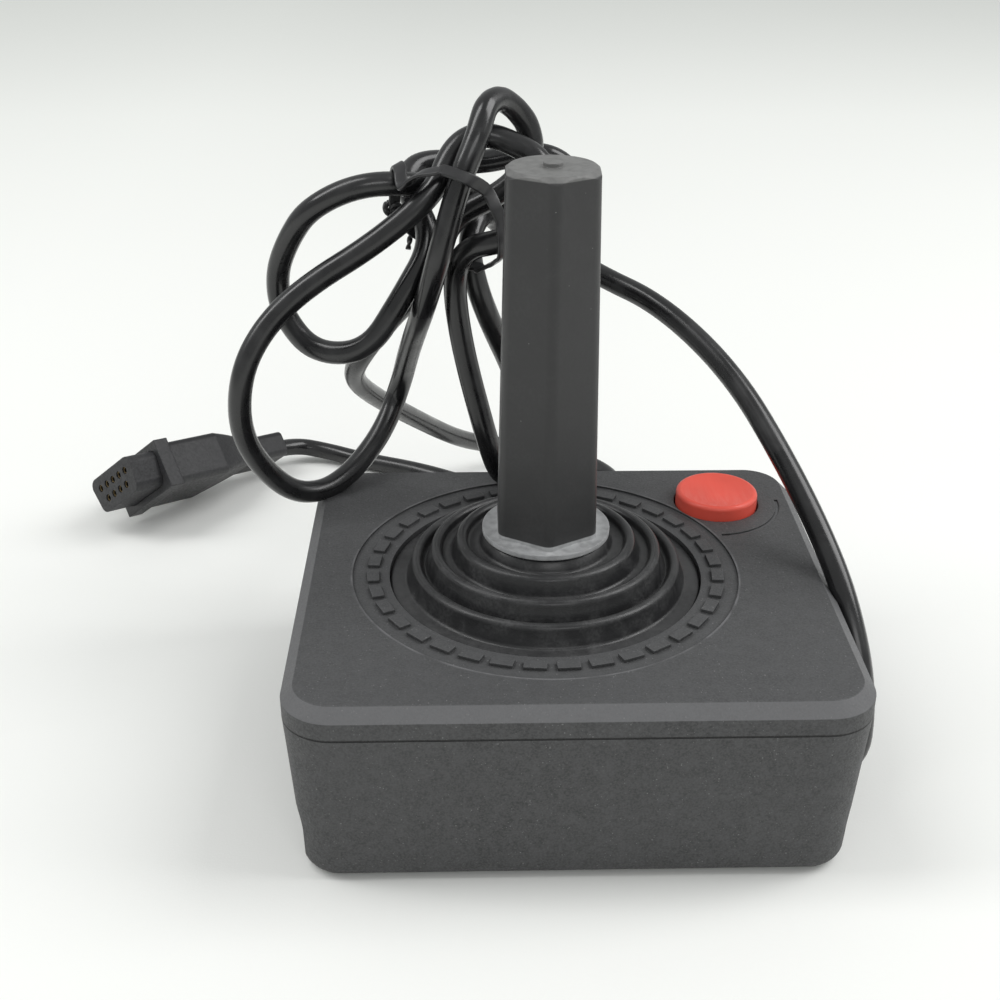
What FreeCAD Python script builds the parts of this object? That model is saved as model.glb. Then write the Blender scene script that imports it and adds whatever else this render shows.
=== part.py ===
"""Joystick controller: a bevelled two-part housing with a hexagonal stick in a pleated boot, a round
fire button, and a long cord tied in a hank above the housing that ends in a nine-way plug.

The origin is the centre of the housing's footprint on the table, X to the right, Y away from the
player, Z up. Lengths are millimetres.
"""

import FreeCAD, Part
import math
import os
from dataclasses import dataclass

from FreeCAD import Placement, Rotation, Vector
from Sketcher import Constraint

SIZES = {
    "case_width": 90.0,
    "case_depth": 80.0,
    "seam_height": 28.4,
    "lid_height": 5.0,
    "bevel": 2.0,
    "corner_radius": 8.2,
    "wall": 2.4,
    "floor_thickness": 2.5,
    "lid_thickness": 2.5,
    "lip_depth": 1.2,
    "lip_wall": 1.0,
    "draft_degrees": 3.72,
    "foot_rounding": 3.0,
    "band_step": 1.0,
    "band_height": 8.0,
    "band_rounding": 4.6,
    "screw_edge_gap": 7.0,
    "screw_radius": 1.25,
    "screw_head_radius": 2.3,
    "screw_head_height": 1.6,
    "screw_seat_height": 6.0,
    "screw_length": 14.0,
    "boss_radius": 3.9,
    "lid_boss_radius": 3.1,
    "boss_joint_height": 14.0,
    "stick_x": -3.45,
    "stick_y": 1.13,
    "ring_radius": 32.8,
    "ring_depth": 0.4,
    "dash_radius": 29.3,
    "dash_width": 2.0,
    "dash_length": 3.6,
    "dash_height": 0.6,
    "dash_phase_degrees": 4.2,
    "boot_flange_radius": 26.4,
    "boot_flange_thickness": 1.0,
    "boot_flange_top": 32.3,
    "boot_seat_gap": 0.1,
    "boot_seat_web": 1.8,
    "boot_wall": 1.1,
    "boot_top": 40.7,
    "bead_radius": 0.9,
    "outer_crest_radius": 22.8,
    "outer_crest_height": 36.1,
    "middle_crest_radius": 19.4,
    "middle_crest_height": 38.4,
    "inner_crest_radius": 15.1,
    "inner_crest_height": 40.2,
    "trough_depth": 1.6,
    "pleat_lean": 0.7,
    "gate_radius": 8.0,
    "pivot_height": 16.0,
    "ball_radius": 3.5,
    "post_radius": 4.4,
    "post_height": 14.5,
    "shaft_radius": 4.5,
    "shaft_top": 98.0,
    "bell_radius": 8.0,
    "bell_bore_radius": 6.0,
    "bell_foot": 13.2,
    "bell_shoulder": 16.9,
    "bell_top": 22.0,
    "hub_radius": 12.0,
    "hub_foot": 14.4,
    "hub_top": 16.4,
    "pad_circle_radius": 9.8,
    "pad_radius": 1.6,
    "press_gap": 0.6,
    "grip_flats_low": 16.3,
    "grip_flats_high": 14.1,
    "grip_top": 102.5,
    "grip_rounding": 2.0,
    "cap_chamfer": 1.1,
    "collar_radius": 10.7,
    "collar_thickness": 1.3,
    "pip_radius": 1.5,
    "pip_height": 0.6,
    "button_x": 29.7,
    "button_y": 24.8,
    "button_radius": 7.5,
    "button_top": 36.0,
    "button_dish": 0.9,
    "button_lip": 0.8,
    "button_flange_width": 0.8,
    "button_flange_thickness": 1.2,
    "button_gap": 0.35,
    "plunger_radius": 2.4,
    "relief_radius": 12.7,
    "relief_width": 0.7,
    "relief_depth": 0.3,
    "relief_shift": 1.4,
    "board_side_gap": 11.0,
    "board_end_gap": 10.0,
    "board_foot": 9.0,
    "board_thickness": 1.6,
    "board_bore_radius": 4.75,
    "board_notch_depth": 4.0,
    "board_notch_width": 14.0,
    "pin_radius": 1.1,
    "pin_shoulder_radius": 2.4,
    "pin_side_inset": 4.0,
    "pin_end_inset": 6.0,
    "pin_inner_x": 12.0,
    "dome_radius": 4.8,
    "dome_height": 1.3,
    "dome_thickness": 0.3,
    "cord_diameter": 4.1,
    "cord_exit_setback": 18.0,
    "cord_exit_z": 6.8,
    "jacket_inside": 3.07,
    "grommet_flange": 0.8,
    "grommet_thickness": 1.2,
    "grommet_wall": 1.3,
    "header_length": 11.0,
    "header_width": 4.0,
    "header_height": 4.2,
    "wire_radius": 0.55,
    "plug_length": 28.0,
    "plug_width": 19.7,
    "plug_height": 11.2,
    "plug_lip_length": 3.5,
    "plug_lip_step": 0.6,
    "plug_shoulder": 17.0,
    "plug_rounding": 1.4,
    "plug_back_length": 11.0,
    "plug_back_width": 10.4,
    "plug_back_height": 6.0,
    "nose_length": 7.0,
    "nose_width": 16.6,
    "nose_height": 8.1,
    "nose_rounding": 2.0,
    "nose_seat": 2.0,
    "socket_pitch": 2.76,
    "socket_row_gap": 2.84,
    "socket_radius": 0.85,
    "contact_wall": 0.25,
    "tie_width": 2.2,
    "tie_thickness": 0.7,
    "tie_span": 34.0,
    "tie_depth": 27.3,
    "tie_rounding": 10.1,
    "tie_knot_along": 0.0,
    "tie_stub_length": 7.0,
    "fit": 0.05,
    "play": 0.3,
}


class Size:
    """A length that carries its number and the sheet expression that gives it."""

    def __init__(self, number, text):
        self.number = number
        self.text = text

    def combined(self, sign, other, number):
        return Size(number, f"({self.text} {sign} {as_size(other).text})")

    def __add__(self, other):
        return self.combined("+", other, self.number + as_size(other).number)

    def __sub__(self, other):
        return self.combined("-", other, self.number - as_size(other).number)

    def __mul__(self, other):
        return self.combined("*", other, self.number * as_size(other).number)

    def __truediv__(self, other):
        return self.combined("/", other, self.number / as_size(other).number)

    def __radd__(self, other):
        return as_size(other) + self

    def __rsub__(self, other):
        return as_size(other) - self

    def __rmul__(self, other):
        return as_size(other) * self

    def __neg__(self):
        return as_size(0) - self


def as_size(value):
    return value if isinstance(value, Size) else Size(float(value), repr(float(value)))


def sine(degrees):
    angle = as_size(degrees)
    return Size(math.sin(math.radians(angle.number)), f"sin({angle.text} * 1 deg)")


def cosine(degrees):
    angle = as_size(degrees)
    return Size(math.cos(math.radians(angle.number)), f"cos({angle.text} * 1 deg)")


def tangent(degrees):
    return sine(degrees) / cosine(degrees)


class Sizes:
    """The driving dimensions, read as attributes and kept in the document's sheet."""

    def __init__(self, doc, table):
        sheet = doc.addObject("Spreadsheet::Sheet", "sizes")
        for row, (name, number) in enumerate(table.items(), start=1):
            sheet.set(f"A{row}", name)
            sheet.set(f"B{row}", repr(number))
            sheet.setAlias(f"B{row}", name)
            setattr(self, name, Size(number, f"sizes.{name}"))
        doc.recompute()


@dataclass(frozen=True)
class Pass:
    """Where the cord goes through the tie: its offset across the bundle, its offset towards the back,
    and its heading there, in degrees from the right, turning up.
    """

    aside: float
    back: float
    heading: float


@dataclass(frozen=True)
class Loop:
    """One loop of the hank: the cord runs from the tie to an ellipse, round its far side and home.

    The ellipse's centre lies at a heading and distance from the tie, its long axis has a slant, and
    its plane stands back by a depth and tilts about the long axis.
    """

    heading: float
    distance: float
    half_length: float
    half_width: float
    slant: float
    depth: float
    tilt: float
    turn: int

    def stations(self, steps=4):
        """Points and headings at even steps round the far side, between the tangents from the tie."""
        centre = HANK_WAIST + compass(self.heading) * self.distance + BACK * self.depth
        along = compass(self.slant)
        upright = Vector(-along.z, 0, along.x)
        tilt = math.radians(self.tilt)
        across = (upright * math.cos(tilt) + BACK * math.sin(tilt)) * self.turn
        home = HANK_WAIST - centre
        right, up = home.dot(along) / self.half_length, home.dot(across) / self.half_width
        bearing, spread = math.atan2(up, right), math.acos(min(1.0, 1 / math.hypot(right, up)))
        first, last = bearing + spread, bearing + 2 * math.pi - spread
        stations = []
        for step in range(steps + 1):
            angle = first + (last - first) * step / steps
            outward = along * self.half_length * math.cos(angle) + across * self.half_width * math.sin(angle)
            onward = across * self.half_width * math.cos(angle) - along * self.half_length * math.sin(angle)
            stations.append((centre + outward, onward.normalize()))
        return stations


DOC = FreeCAD.newDocument("joystick")
S = Sizes(DOC, SIZES)

LID_TOP = S.seam_height + S.lid_height
LID_CEILING = LID_TOP - S.lid_thickness
DRAFT = tangent(S.draft_degrees)
BAND_FACE_X = S.case_width / 2 - DRAFT * (S.seam_height - S.band_height) - S.band_step
RING_FLOOR = LID_TOP - S.ring_depth
BOOT_SEAT = S.boot_flange_top - S.boot_flange_thickness - S.boot_seat_gap
BOARD_TOP = S.board_foot + S.board_thickness
PAD_FOOT = BOARD_TOP + S.dome_height + S.press_gap
COLLAR_FOOT = S.boot_top + S.play
DASH_COUNT = 36
WIRE_COUNT = 5
RUN_SHARE = 0.45
BOARD_EDGE_X = S.case_width / 2 - S.board_side_gap
BOARD_EDGE_Y = S.case_depth / 2 - S.board_end_gap
NOTCH_X = BOARD_EDGE_X - S.board_notch_depth
HEADER_X = NOTCH_X - S.header_width
WIRE_TOP = BOARD_TOP + S.header_height + 4 * S.wire_radius
WIRE_STEP = 3 * S.wire_radius
BOSS_X = S.case_width / 2 - S.screw_edge_gap
BOSS_Y = S.case_depth / 2 - S.screw_edge_gap
CORD_EXIT_Y = S.cord_exit_setback - S.case_depth / 2
JACKET_END_X = BAND_FACE_X - S.wall - S.play - S.jacket_inside
RELIEF_START, RELIEF_END = -88, 3

BACK = Vector(0, 1, 0)
HANK_WAIST = Vector(-18.3, 30.0, 88.3)
WAIST_LEAN = 24.8
TIE_CENTRE = (-21.56, 33.18, 79.13)
TIE_TURN = (115.62, 57.59, 60.18)
LEAD_POINTS = (
    (JACKET_END_X.number, CORD_EXIT_Y.number, S.cord_exit_z.number),
    (BAND_FACE_X.number + 4.73, CORD_EXIT_Y.number, S.cord_exit_z.number),
    (49.2, -16.0, 18.5), (48.2, -8.5, 29.5), (45.0, -2.5, 39.5),
    (38.0, 7.0, 50.5), (28.5, 17.5, 61.0), (17.0, 27.5, 70.5), (8.0, 42.5, 74.1),
)
TAIL_POINTS = (
    (-24.2, 37.3, 76.3), (-28.5, 39.5, 67.0), (-36.5, 45.0, 55.5), (-39.5, 52.0, 47.8), (-36.5, 61.0, 40.0),
    (-28.5, 78.0, 27.0), (-19.5, 94.0, 14.5), (-11.5, 105.5, 7.2), (-1.0, 110.0, 4.2), (9.0, 107.5, 2.7),
    (18.5, 99.0, 2.1), (19.0, 85.5, 2.1), (8.0, 76.0, 2.1), (-5.5, 80.5, 2.1), (-14.0, 92.0, 2.1),
    (-28.0, 101.5, 2.1), (-42.0, 107.3, 2.1), (-52.0, 112.0, 2.7), (-60.0, 112.4, 4.2),
    (-64.66, 107.06, 5.38),
)
PLUG_NOSE = (-95.05, 73.35, 13.1)
PLUG_YAW, PLUG_PITCH, PLUG_ROLL = 48.0, 9.5, -39.5
HANK_PASSES = (
    Pass(-3.5, 15.1, 185),
    Pass(9.1, 5.3, 38),
    Pass(-4.6, 0.2, 213),
    Pass(-1.0, -5.4, 20),
    Pass(4.6, -4.7, 219),
    Pass(3.1, -9.9, 93),
    Pass(-0.6, 4.0, 245),
)
HANK_LOOPS = (
    Loop(209.4, 21.9, 16.0, 10.2, 239, -1.7, -9, 1),
    Loop(-16.1, 15.0, 7.7, 10.1, 3, 14.5, 7, -1),
    Loop(280.2, 30.8, 22.8, 5.0, 284, 1.5, 55, -1),
    Loop(28.4, 10.7, 6.9, 10.2, 53, -2.7, 24, 1),
    Loop(234.1, 40.8, 19.9, 16.8, 264, -2.2, 36, 1),
    Loop(57.0, 15.3, 6.4, 6.0, 108, 0.3, -44, -1),
)


def bind(thing, name, size):
    """Give a property its sheet expression."""
    thing.setExpression(name, as_size(size).text)


def put(thing, x=0, y=0, z=0):
    """Place a sub-part, with its position kept as sheet expressions."""
    for axis, size in zip("xyz", (x, y, z)):
        bind(thing, f"Placement.Base.{axis}", size)
    return thing


def body_called(label):
    body = DOC.addObject("PartDesign::Body", label)
    body.Label = label
    return body


def origin_plane(body, role):
    return next(plane for plane in body.Origin.OriginFeatures if plane.Role == role)


def sketch_on(body, name, role="XY_Plane", lift=0, right=0, up=0):
    """An empty sketch on one of the body's own planes, lifted off it and shifted in it."""
    sketch = body.newObject("Sketcher::SketchObject", name)
    sketch.AttachmentSupport = (origin_plane(body, role), "")
    sketch.MapMode = "FlatFace"
    for axis, size in zip("xyz", (right, up, lift)):
        bind(sketch, f"AttachmentOffset.Base.{axis}", size)
    return sketch


def pin_point(sketch, edge, end, x, y):
    """Hold one end of an edge at a place that the sheet gives."""
    for kind, size in (("DistanceX", as_size(x)), ("DistanceY", as_size(y))):
        index = sketch.addConstraint(Constraint(kind, -1, 1, edge, end, size.number))
        sketch.setExpression(f"Constraints[{index}]", size.text)


def outline(sketch, corners):
    """Close a loop of straight edges through the corners. A corner of three values ends an arc of
    that radius, which turns left where the radius is positive and right where it is negative.
    """
    points = [Vector(as_size(c[0]).number, as_size(c[1]).number, 0) for c in corners]
    ends = []
    for corner, start, end in zip(corners, points[-1:] + points[:-1], points):
        if len(corner) == 2:
            edge = sketch.addGeometry(Part.LineSegment(start, end))
            ends.append((edge, 1, 2))
            continue
        radius = as_size(corner[2])
        chord = end - start
        left = Vector(-chord.y, chord.x, 0).normalize()
        height = math.sqrt(max(radius.number**2 - chord.Length**2 / 4, 0.0))
        centre = (start + end) * 0.5 + left * math.copysign(height, radius.number)
        first, last = (start, end) if radius.number > 0 else (end, start)
        angles = [math.atan2(p.y - centre.y, p.x - centre.x) for p in (first, last)]
        if angles[1] < angles[0]:
            angles[1] += 2 * math.pi
        circle = Part.Circle(centre, Vector(0, 0, 1), abs(radius.number))
        edge = sketch.addGeometry(Part.ArcOfCircle(circle, *angles))
        index = sketch.addConstraint(Constraint("Radius", edge, abs(radius.number)))
        sketch.setExpression(f"Constraints[{index}]", f"abs({radius.text})")
        ends.append((edge, 1, 2) if radius.number > 0 else (edge, 2, 1))
    for (edge, _, end), (following, start, _) in zip(ends, ends[1:] + ends[:1]):
        sketch.addConstraint(Constraint("Coincident", edge, end, following, start))
    for (edge, _, end), corner in zip(ends, corners):
        pin_point(sketch, edge, end, corner[0], corner[1])
    return sketch


def rounded_rectangle(sketch, width, depth, radius):
    """A rectangle about the sketch's origin with round corners."""
    x, y = as_size(width) / 2, as_size(depth) / 2
    corners = [
        (x - radius, -y), (x, radius - y, radius),
        (x, y - radius), (x - radius, y, radius),
        (radius - x, y), (-x, y - radius, radius),
        (-x, radius - y), (radius - x, -y, radius),
    ]
    return outline(sketch, corners)


def circles(sketch, radius, places=((0, 0),)):
    """Circles of one radius at the places given."""
    radius = as_size(radius)
    for x, y in places:
        centre = Vector(as_size(x).number, as_size(y).number, 0)
        edge = sketch.addGeometry(Part.Circle(centre, Vector(0, 0, 1), radius.number))
        index = sketch.addConstraint(Constraint("Radius", edge, radius.number))
        sketch.setExpression(f"Constraints[{index}]", radius.text)
        pin_point(sketch, edge, 3, x, y)
    return sketch


def pad(sketch, length, downwards=False):
    feature = sketch.getParentGeoFeatureGroup().newObject("PartDesign::Pad", sketch.Name + "_pad")
    feature.Profile = sketch
    bind(feature, "Length", length)
    feature.Reversed = downwards
    return feature


def pocket(sketch, length, upwards=False):
    feature = sketch.getParentGeoFeatureGroup().newObject("PartDesign::Pocket", sketch.Name + "_pocket")
    feature.Profile = sketch
    bind(feature, "Length", length)
    feature.Reversed = upwards
    return feature


def pocket_through(sketch):
    """Cut the sketch right through the body, both ways from its plane."""
    feature = pocket(sketch, 4 * S.case_width)
    feature.Midplane = True
    return feature


def revolution(sketch):
    feature = sketch.getParentGeoFeatureGroup().newObject("PartDesign::Revolution", sketch.Name + "_turn")
    feature.Profile = sketch
    feature.ReferenceAxis = (sketch, ["V_Axis"])
    feature.Angle = 360
    return feature


def groove(sketch):
    feature = sketch.getParentGeoFeatureGroup().newObject("PartDesign::Groove", sketch.Name + "_groove")
    feature.Profile = sketch
    feature.ReferenceAxis = (sketch, ["V_Axis"])
    feature.Angle = 360
    return feature


def edges_where(feature, test):
    """The names of a feature's edges whose middle point passes the test, after a recompute."""
    DOC.recompute()
    names = []
    for number, edge in enumerate(feature.Shape.Edges, start=1):
        middle = edge.valueAt((edge.FirstParameter + edge.LastParameter) / 2)
        if test(edge, middle):
            names.append(f"Edge{number}")
    return names


def soften(feature, kind, size, test):
    """Fillet or chamfer the edges that pass the test."""
    softened = feature.getParentGeoFeatureGroup().newObject(f"PartDesign::{kind}", f"{feature.Name}_{kind}")
    softened.Base = (feature, edges_where(feature, test))
    bind(softened, "Radius" if kind == "Fillet" else "Size", size)
    return softened


def half_disc(radius, height):
    """The profile of a ball about the axis, with its centre at the height."""
    return [(0, height - radius), (radius, height, radius), (0, height + radius, radius)]


def turned(label, corners, centre=(S.stick_x, S.stick_y)):
    """A sub-part turned about the vertical through the centre, from a profile of radius and height."""
    body = body_called(label)
    revolution(outline(sketch_on(body, label + "_profile", "XZ_Plane"), corners))
    put(body, *centre)
    return body


def feature_called(label, shape):
    feature = DOC.addObject("Part::Feature", label)
    feature.Label = label
    feature.Shape = shape
    return feature


def arc_from(start, heading, end):
    """The arc, or straight edge, that leaves the start along the heading and meets the end."""
    chord = end - start
    along = Vector(chord).normalize()
    aside = heading - along * heading.dot(along)
    if aside.Length < 1e-5:
        return Part.LineSegment(start, end), math.inf
    turn = math.atan2(aside.Length, heading.dot(along))
    sagitta = Vector(aside).normalize() * (chord.Length / 2 * math.tan(turn / 2))
    return Part.Arc(start, (start + end) * 0.5 + sagitta, end), chord.Length / (2 * math.sin(turn))


def rounded_path(points):
    """Straight runs joined by tangent arcs, each as large as its two runs allow."""
    edges, start = [], points[0]
    for before, corner, after in zip(points, points[1:], points[2:]):
        back, ahead = (before - corner), (after - corner)
        reach = RUN_SHARE * min(back.Length, ahead.Length)
        first = corner + back.normalize() * reach
        last = corner + ahead.normalize() * reach
        edges.append(Part.LineSegment(start, first).toShape())
        edges.append(arc_from(first, (corner - first).normalize(), last)[0].toShape())
        start = last
    edges.append(Part.LineSegment(start, points[-1]).toShape())
    return Part.Wire(edges)


def tube(path, radius):
    """A round tube swept along a path."""
    start = path.Edges[0]
    heading = start.tangentAt(start.FirstParameter)
    ring = Part.Wire(Part.Circle(start.valueAt(start.FirstParameter), heading, radius).toShape())
    return path.makePipeShell([ring], True, False)


def report_route(label, points, path, shape):
    """Print a route's bend radii, and its solid's volume against section times length."""
    radii = []
    for before, corner, after in zip(points, points[1:], points[2:]):
        turn = (corner - before).getAngle(after - corner)
        reach = RUN_SHARE * min((corner - before).Length, (after - corner).Length)
        radii.append(round(reach / math.tan(turn / 2), 1))
    section = math.pi * (S.cord_diameter.number / 2) ** 2
    ratio = shape.Volume / (section * path.Length)
    print(f"{label}: length {path.Length:.1f}, radii {radii}, volume ratio {ratio:.4f}")


def cord(label, points):
    """A stretch of the cord along its hand-chosen points."""
    places = [Vector(*point) for point in points]
    path = rounded_path(places)
    shape = tube(path, S.cord_diameter.number / 2)
    report_route(label, places, path, shape)
    return feature_called(label, shape)


def boss_places():
    return [(sx * BOSS_X, sy * BOSS_Y) for sx in (-1, 1) for sy in (-1, 1)]


def pin_places():
    x, y = BOARD_EDGE_X - S.pin_side_inset, BOARD_EDGE_Y - S.pin_end_inset
    return [(-x, -y), (-x, y), (S.pin_inner_x, -y), (S.pin_inner_x, y)]


def bottom_shell():
    """The tub: drafted walls, rounded foot, stepped-in side bands, screw bosses, board posts and the
    post that carries the stick's pivot.
    """
    body = body_called("bottom_shell")
    outside = sketch_on(body, "tub_outside", lift=S.seam_height)
    rounded_rectangle(outside, S.case_width, S.case_depth, S.corner_radius)
    shell = pad(outside, S.seam_height, downwards=True)
    bind(shell, "TaperAngle", -S.draft_degrees)
    soften(shell, "Fillet", S.foot_rounding, lambda edge, middle: middle.z < 0.01)
    inside = sketch_on(body, "tub_inside", lift=S.seam_height)
    inner_radius = S.corner_radius - S.wall
    rounded_rectangle(inside, S.case_width - 2 * S.wall, S.case_depth - 2 * S.wall, inner_radius)
    hollow = pocket(inside, S.seam_height - S.floor_thickness)
    bind(hollow, "TaperAngle", -S.draft_degrees)
    for name, side in (("band_left", -1), ("band_right", 1)):
        band = sketch_on(body, name, "XZ_Plane")
        clear = side * S.case_width
        step = side * BAND_FACE_X
        lip = side * (BAND_FACE_X + S.band_step + DRAFT * S.band_rounding)
        outline(band, [
            (clear, -S.wall), (step, -S.wall), (step, S.band_height),
            (lip, S.band_height + S.band_rounding, -side * S.band_rounding * 2.4),
            (clear, S.band_height + S.band_rounding),
        ])
        pocket_through(band)
    bosses = circles(sketch_on(body, "boss_posts", lift=S.floor_thickness / 2), S.boss_radius, boss_places())
    pad(bosses, S.boss_joint_height - S.fit - S.floor_thickness / 2)
    wells = circles(sketch_on(body, "screw_wells"), S.screw_head_radius + S.play, boss_places())
    pocket(wells, S.screw_seat_height, upwards=True)
    holes = circles(sketch_on(body, "screw_holes"), S.screw_radius + S.play, boss_places())
    pocket(holes, S.boss_joint_height + S.play, upwards=True)
    shoulders = circles(sketch_on(body, "board_shoulders", lift=S.floor_thickness / 2),
                        S.pin_shoulder_radius, pin_places())
    pad(shoulders, S.board_foot - S.floor_thickness / 2)
    pins = circles(sketch_on(body, "board_pins", lift=S.floor_thickness / 2), S.pin_radius, pin_places())
    pad(pins, BOARD_TOP + S.screw_radius / 2 - S.floor_thickness / 2)
    centre = [(S.stick_x, S.stick_y)]
    post = circles(sketch_on(body, "pivot_post", lift=S.floor_thickness / 2), S.post_radius, centre)
    pad(post, S.post_height - S.floor_thickness / 2)
    cup_sketch = sketch_on(body, "pivot_cup", "XZ_Plane", lift=-S.stick_y, right=S.stick_x)
    radius = S.ball_radius + S.fit
    outline(cup_sketch, half_disc(radius, S.pivot_height))
    groove(cup_sketch)
    gland = sketch_on(body, "cord_hole", "YZ_Plane", lift=S.case_width / 4)
    circles(gland, S.cord_diameter / 2 + S.grommet_wall + S.fit, [(CORD_EXIT_Y, S.cord_exit_z)])
    pocket(gland, S.case_width, upwards=True)
    return body


def top_shell():
    """The lid: bevelled plate with the recessed ring of dashes, the dished boot seat, the stick's gate,
    the button's hole with its relief line, the lip that locates it in the tub and the screw bosses.
    """
    body = body_called("top_shell")
    plate = sketch_on(body, "lid_outside", lift=S.seam_height)
    rounded_rectangle(plate, S.case_width, S.case_depth, S.corner_radius)
    lid = pad(plate, S.lid_height)
    soften(lid, "Chamfer", S.bevel, lambda edge, middle: middle.z > LID_TOP.number - 0.01)
    inside = sketch_on(body, "lid_inside", lift=S.seam_height)
    inner_radius = S.corner_radius - S.wall
    rounded_rectangle(inside, S.case_width - 2 * S.wall, S.case_depth - 2 * S.wall, inner_radius)
    pocket(inside, S.lid_height - S.lid_thickness, upwards=True)
    lip = sketch_on(body, "locating_lip", lift=S.seam_height - S.lip_depth)
    for inset in (S.wall + S.play, S.wall + S.play + S.lip_wall):
        rounded_rectangle(lip, S.case_width - 2 * inset, S.case_depth - 2 * inset, S.corner_radius - inset)
    pad(lip, LID_CEILING - S.seam_height + S.lip_depth)
    centre = [(S.stick_x, S.stick_y)]
    dish = sketch_on(body, "boot_dish", lift=BOOT_SEAT - S.boot_seat_web)
    circles(dish, S.boot_flange_radius + S.boot_seat_web, centre)
    pad(dish, LID_CEILING - BOOT_SEAT + S.boot_seat_web)
    bosses = sketch_on(body, "lid_bosses", lift=S.boss_joint_height)
    pad(circles(bosses, S.lid_boss_radius, boss_places()), LID_CEILING - S.boss_joint_height)
    pilots = sketch_on(body, "screw_pilots", lift=S.boss_joint_height)
    pocket(circles(pilots, S.screw_radius + S.fit, boss_places()), S.screw_length * 0.75, upwards=True)
    ring = sketch_on(body, "ring_recess", lift=LID_TOP)
    pocket(circles(ring, S.ring_radius, centre), S.ring_depth)
    seat = sketch_on(body, "boot_seat", lift=LID_TOP)
    pocket(circles(seat, S.boot_flange_radius + S.play / 2, centre), LID_TOP - BOOT_SEAT)
    pocket_through(circles(sketch_on(body, "stick_gate"), S.gate_radius, centre))
    button = [(S.button_x, S.button_y)]
    pocket_through(circles(sketch_on(body, "button_hole"), S.button_radius + S.button_gap, button))
    relief = sketch_on(body, "relief_line", lift=LID_TOP, right=S.button_x - S.relief_shift, up=S.button_y)
    pocket(outline(relief, relief_corners()), S.relief_depth)
    dash = sketch_on(body, "dash", lift=RING_FLOOR, right=S.stick_x, up=S.stick_y)
    outline(dash, dash_corners())
    first = pad(dash, S.dash_height)
    dashes = body.newObject("PartDesign::PolarPattern", "dashes")
    dashes.Originals = [first]
    dashes.Axis = (dash, ["N_Axis"])
    dashes.Angle = 360
    dashes.Occurrences = DASH_COUNT
    body.Tip = dashes
    return body


def relief_corners():
    """The thin curved line in the lid, in front of the button and to its right."""
    inner, outer = S.relief_radius - S.relief_width / 2, S.relief_radius + S.relief_width / 2
    start, end = ((cosine(turn), sine(turn)) for turn in (RELIEF_START, RELIEF_END))
    return [
        (inner * start[0], inner * start[1], -inner), (outer * start[0], outer * start[1]),
        (outer * end[0], outer * end[1], outer), (inner * end[0], inner * end[1]),
    ]


def dash_corners():
    """One raised dash of the ring, square to its radius."""
    inner, outer = S.dash_radius - S.dash_width / 2, S.dash_radius + S.dash_width / 2
    right, up = cosine(S.dash_phase_degrees), sine(S.dash_phase_degrees)
    half = S.dash_length / 2
    corners = [(inner, -half), (outer, -half), (outer, half), (inner, half)]
    return [(right * along - up * aside, up * along + right * aside) for along, aside in corners]


def case_screws():
    """Four pan-head screws that come up from below into the lid's bosses."""
    body = body_called("case_screws")
    heads = sketch_on(body, "screw_heads", lift=S.screw_seat_height - S.screw_head_height)
    pad(circles(heads, S.screw_head_radius, boss_places()), S.screw_head_height)
    shanks = sketch_on(body, "screw_shanks", lift=S.screw_seat_height - S.screw_head_height / 2)
    pad(circles(shanks, S.screw_radius, boss_places()), S.screw_length + S.screw_head_height / 2)
    return body


def circuit_board():
    """The board with its bore for the pivot post, pin holes and a notch where the wires come up."""
    body = body_called("circuit_board")
    plan = sketch_on(body, "board_plan", lift=S.board_foot)
    x, y = BOARD_EDGE_X, BOARD_EDGE_Y
    low, high = CORD_EXIT_Y - S.board_notch_width / 2, CORD_EXIT_Y + S.board_notch_width / 2
    outline(plan, [(-x, -y), (x, -y), (x, low), (NOTCH_X, low), (NOTCH_X, high), (x, high), (x, y), (-x, y)])
    circles(plan, S.board_bore_radius, [(S.stick_x, S.stick_y)])
    circles(plan, S.pin_radius + S.play / 2, pin_places())
    pad(plan, S.board_thickness)
    return body


def contact_dome(label, x, y):
    """A snap dome on the board, which the stick's pads or the button's plunger press."""
    rim, top = S.dome_radius, S.dome_height
    crown = (rim * rim + top * top) / (2 * top)
    inner_rim, inner_top = rim - S.dome_thickness * 2, top - S.dome_thickness
    inner_crown = (inner_rim * inner_rim + inner_top * inner_top) / (2 * inner_top)
    body = turned(label, [
        (rim, 0), (0, top, crown), (0, inner_top), (inner_rim, 0, -inner_crown),
    ], (x, y))
    bind(body, "Placement.Base.z", BOARD_TOP)
    return body


def contact_domes():
    reach = S.pad_circle_radius
    return [
        contact_dome("contact_dome_front", S.stick_x, S.stick_y - reach),
        contact_dome("contact_dome_rear", S.stick_x, S.stick_y + reach),
        contact_dome("contact_dome_left", S.stick_x - reach, S.stick_y),
        contact_dome("contact_dome_right", S.stick_x + reach, S.stick_y),
        contact_dome("contact_dome_fire", S.button_x, S.button_y),
    ]


def pivot_ball():
    """The ball that the stick rocks on, in the cup of the post."""
    return turned("pivot_ball", half_disc(S.ball_radius, S.pivot_height))


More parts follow.
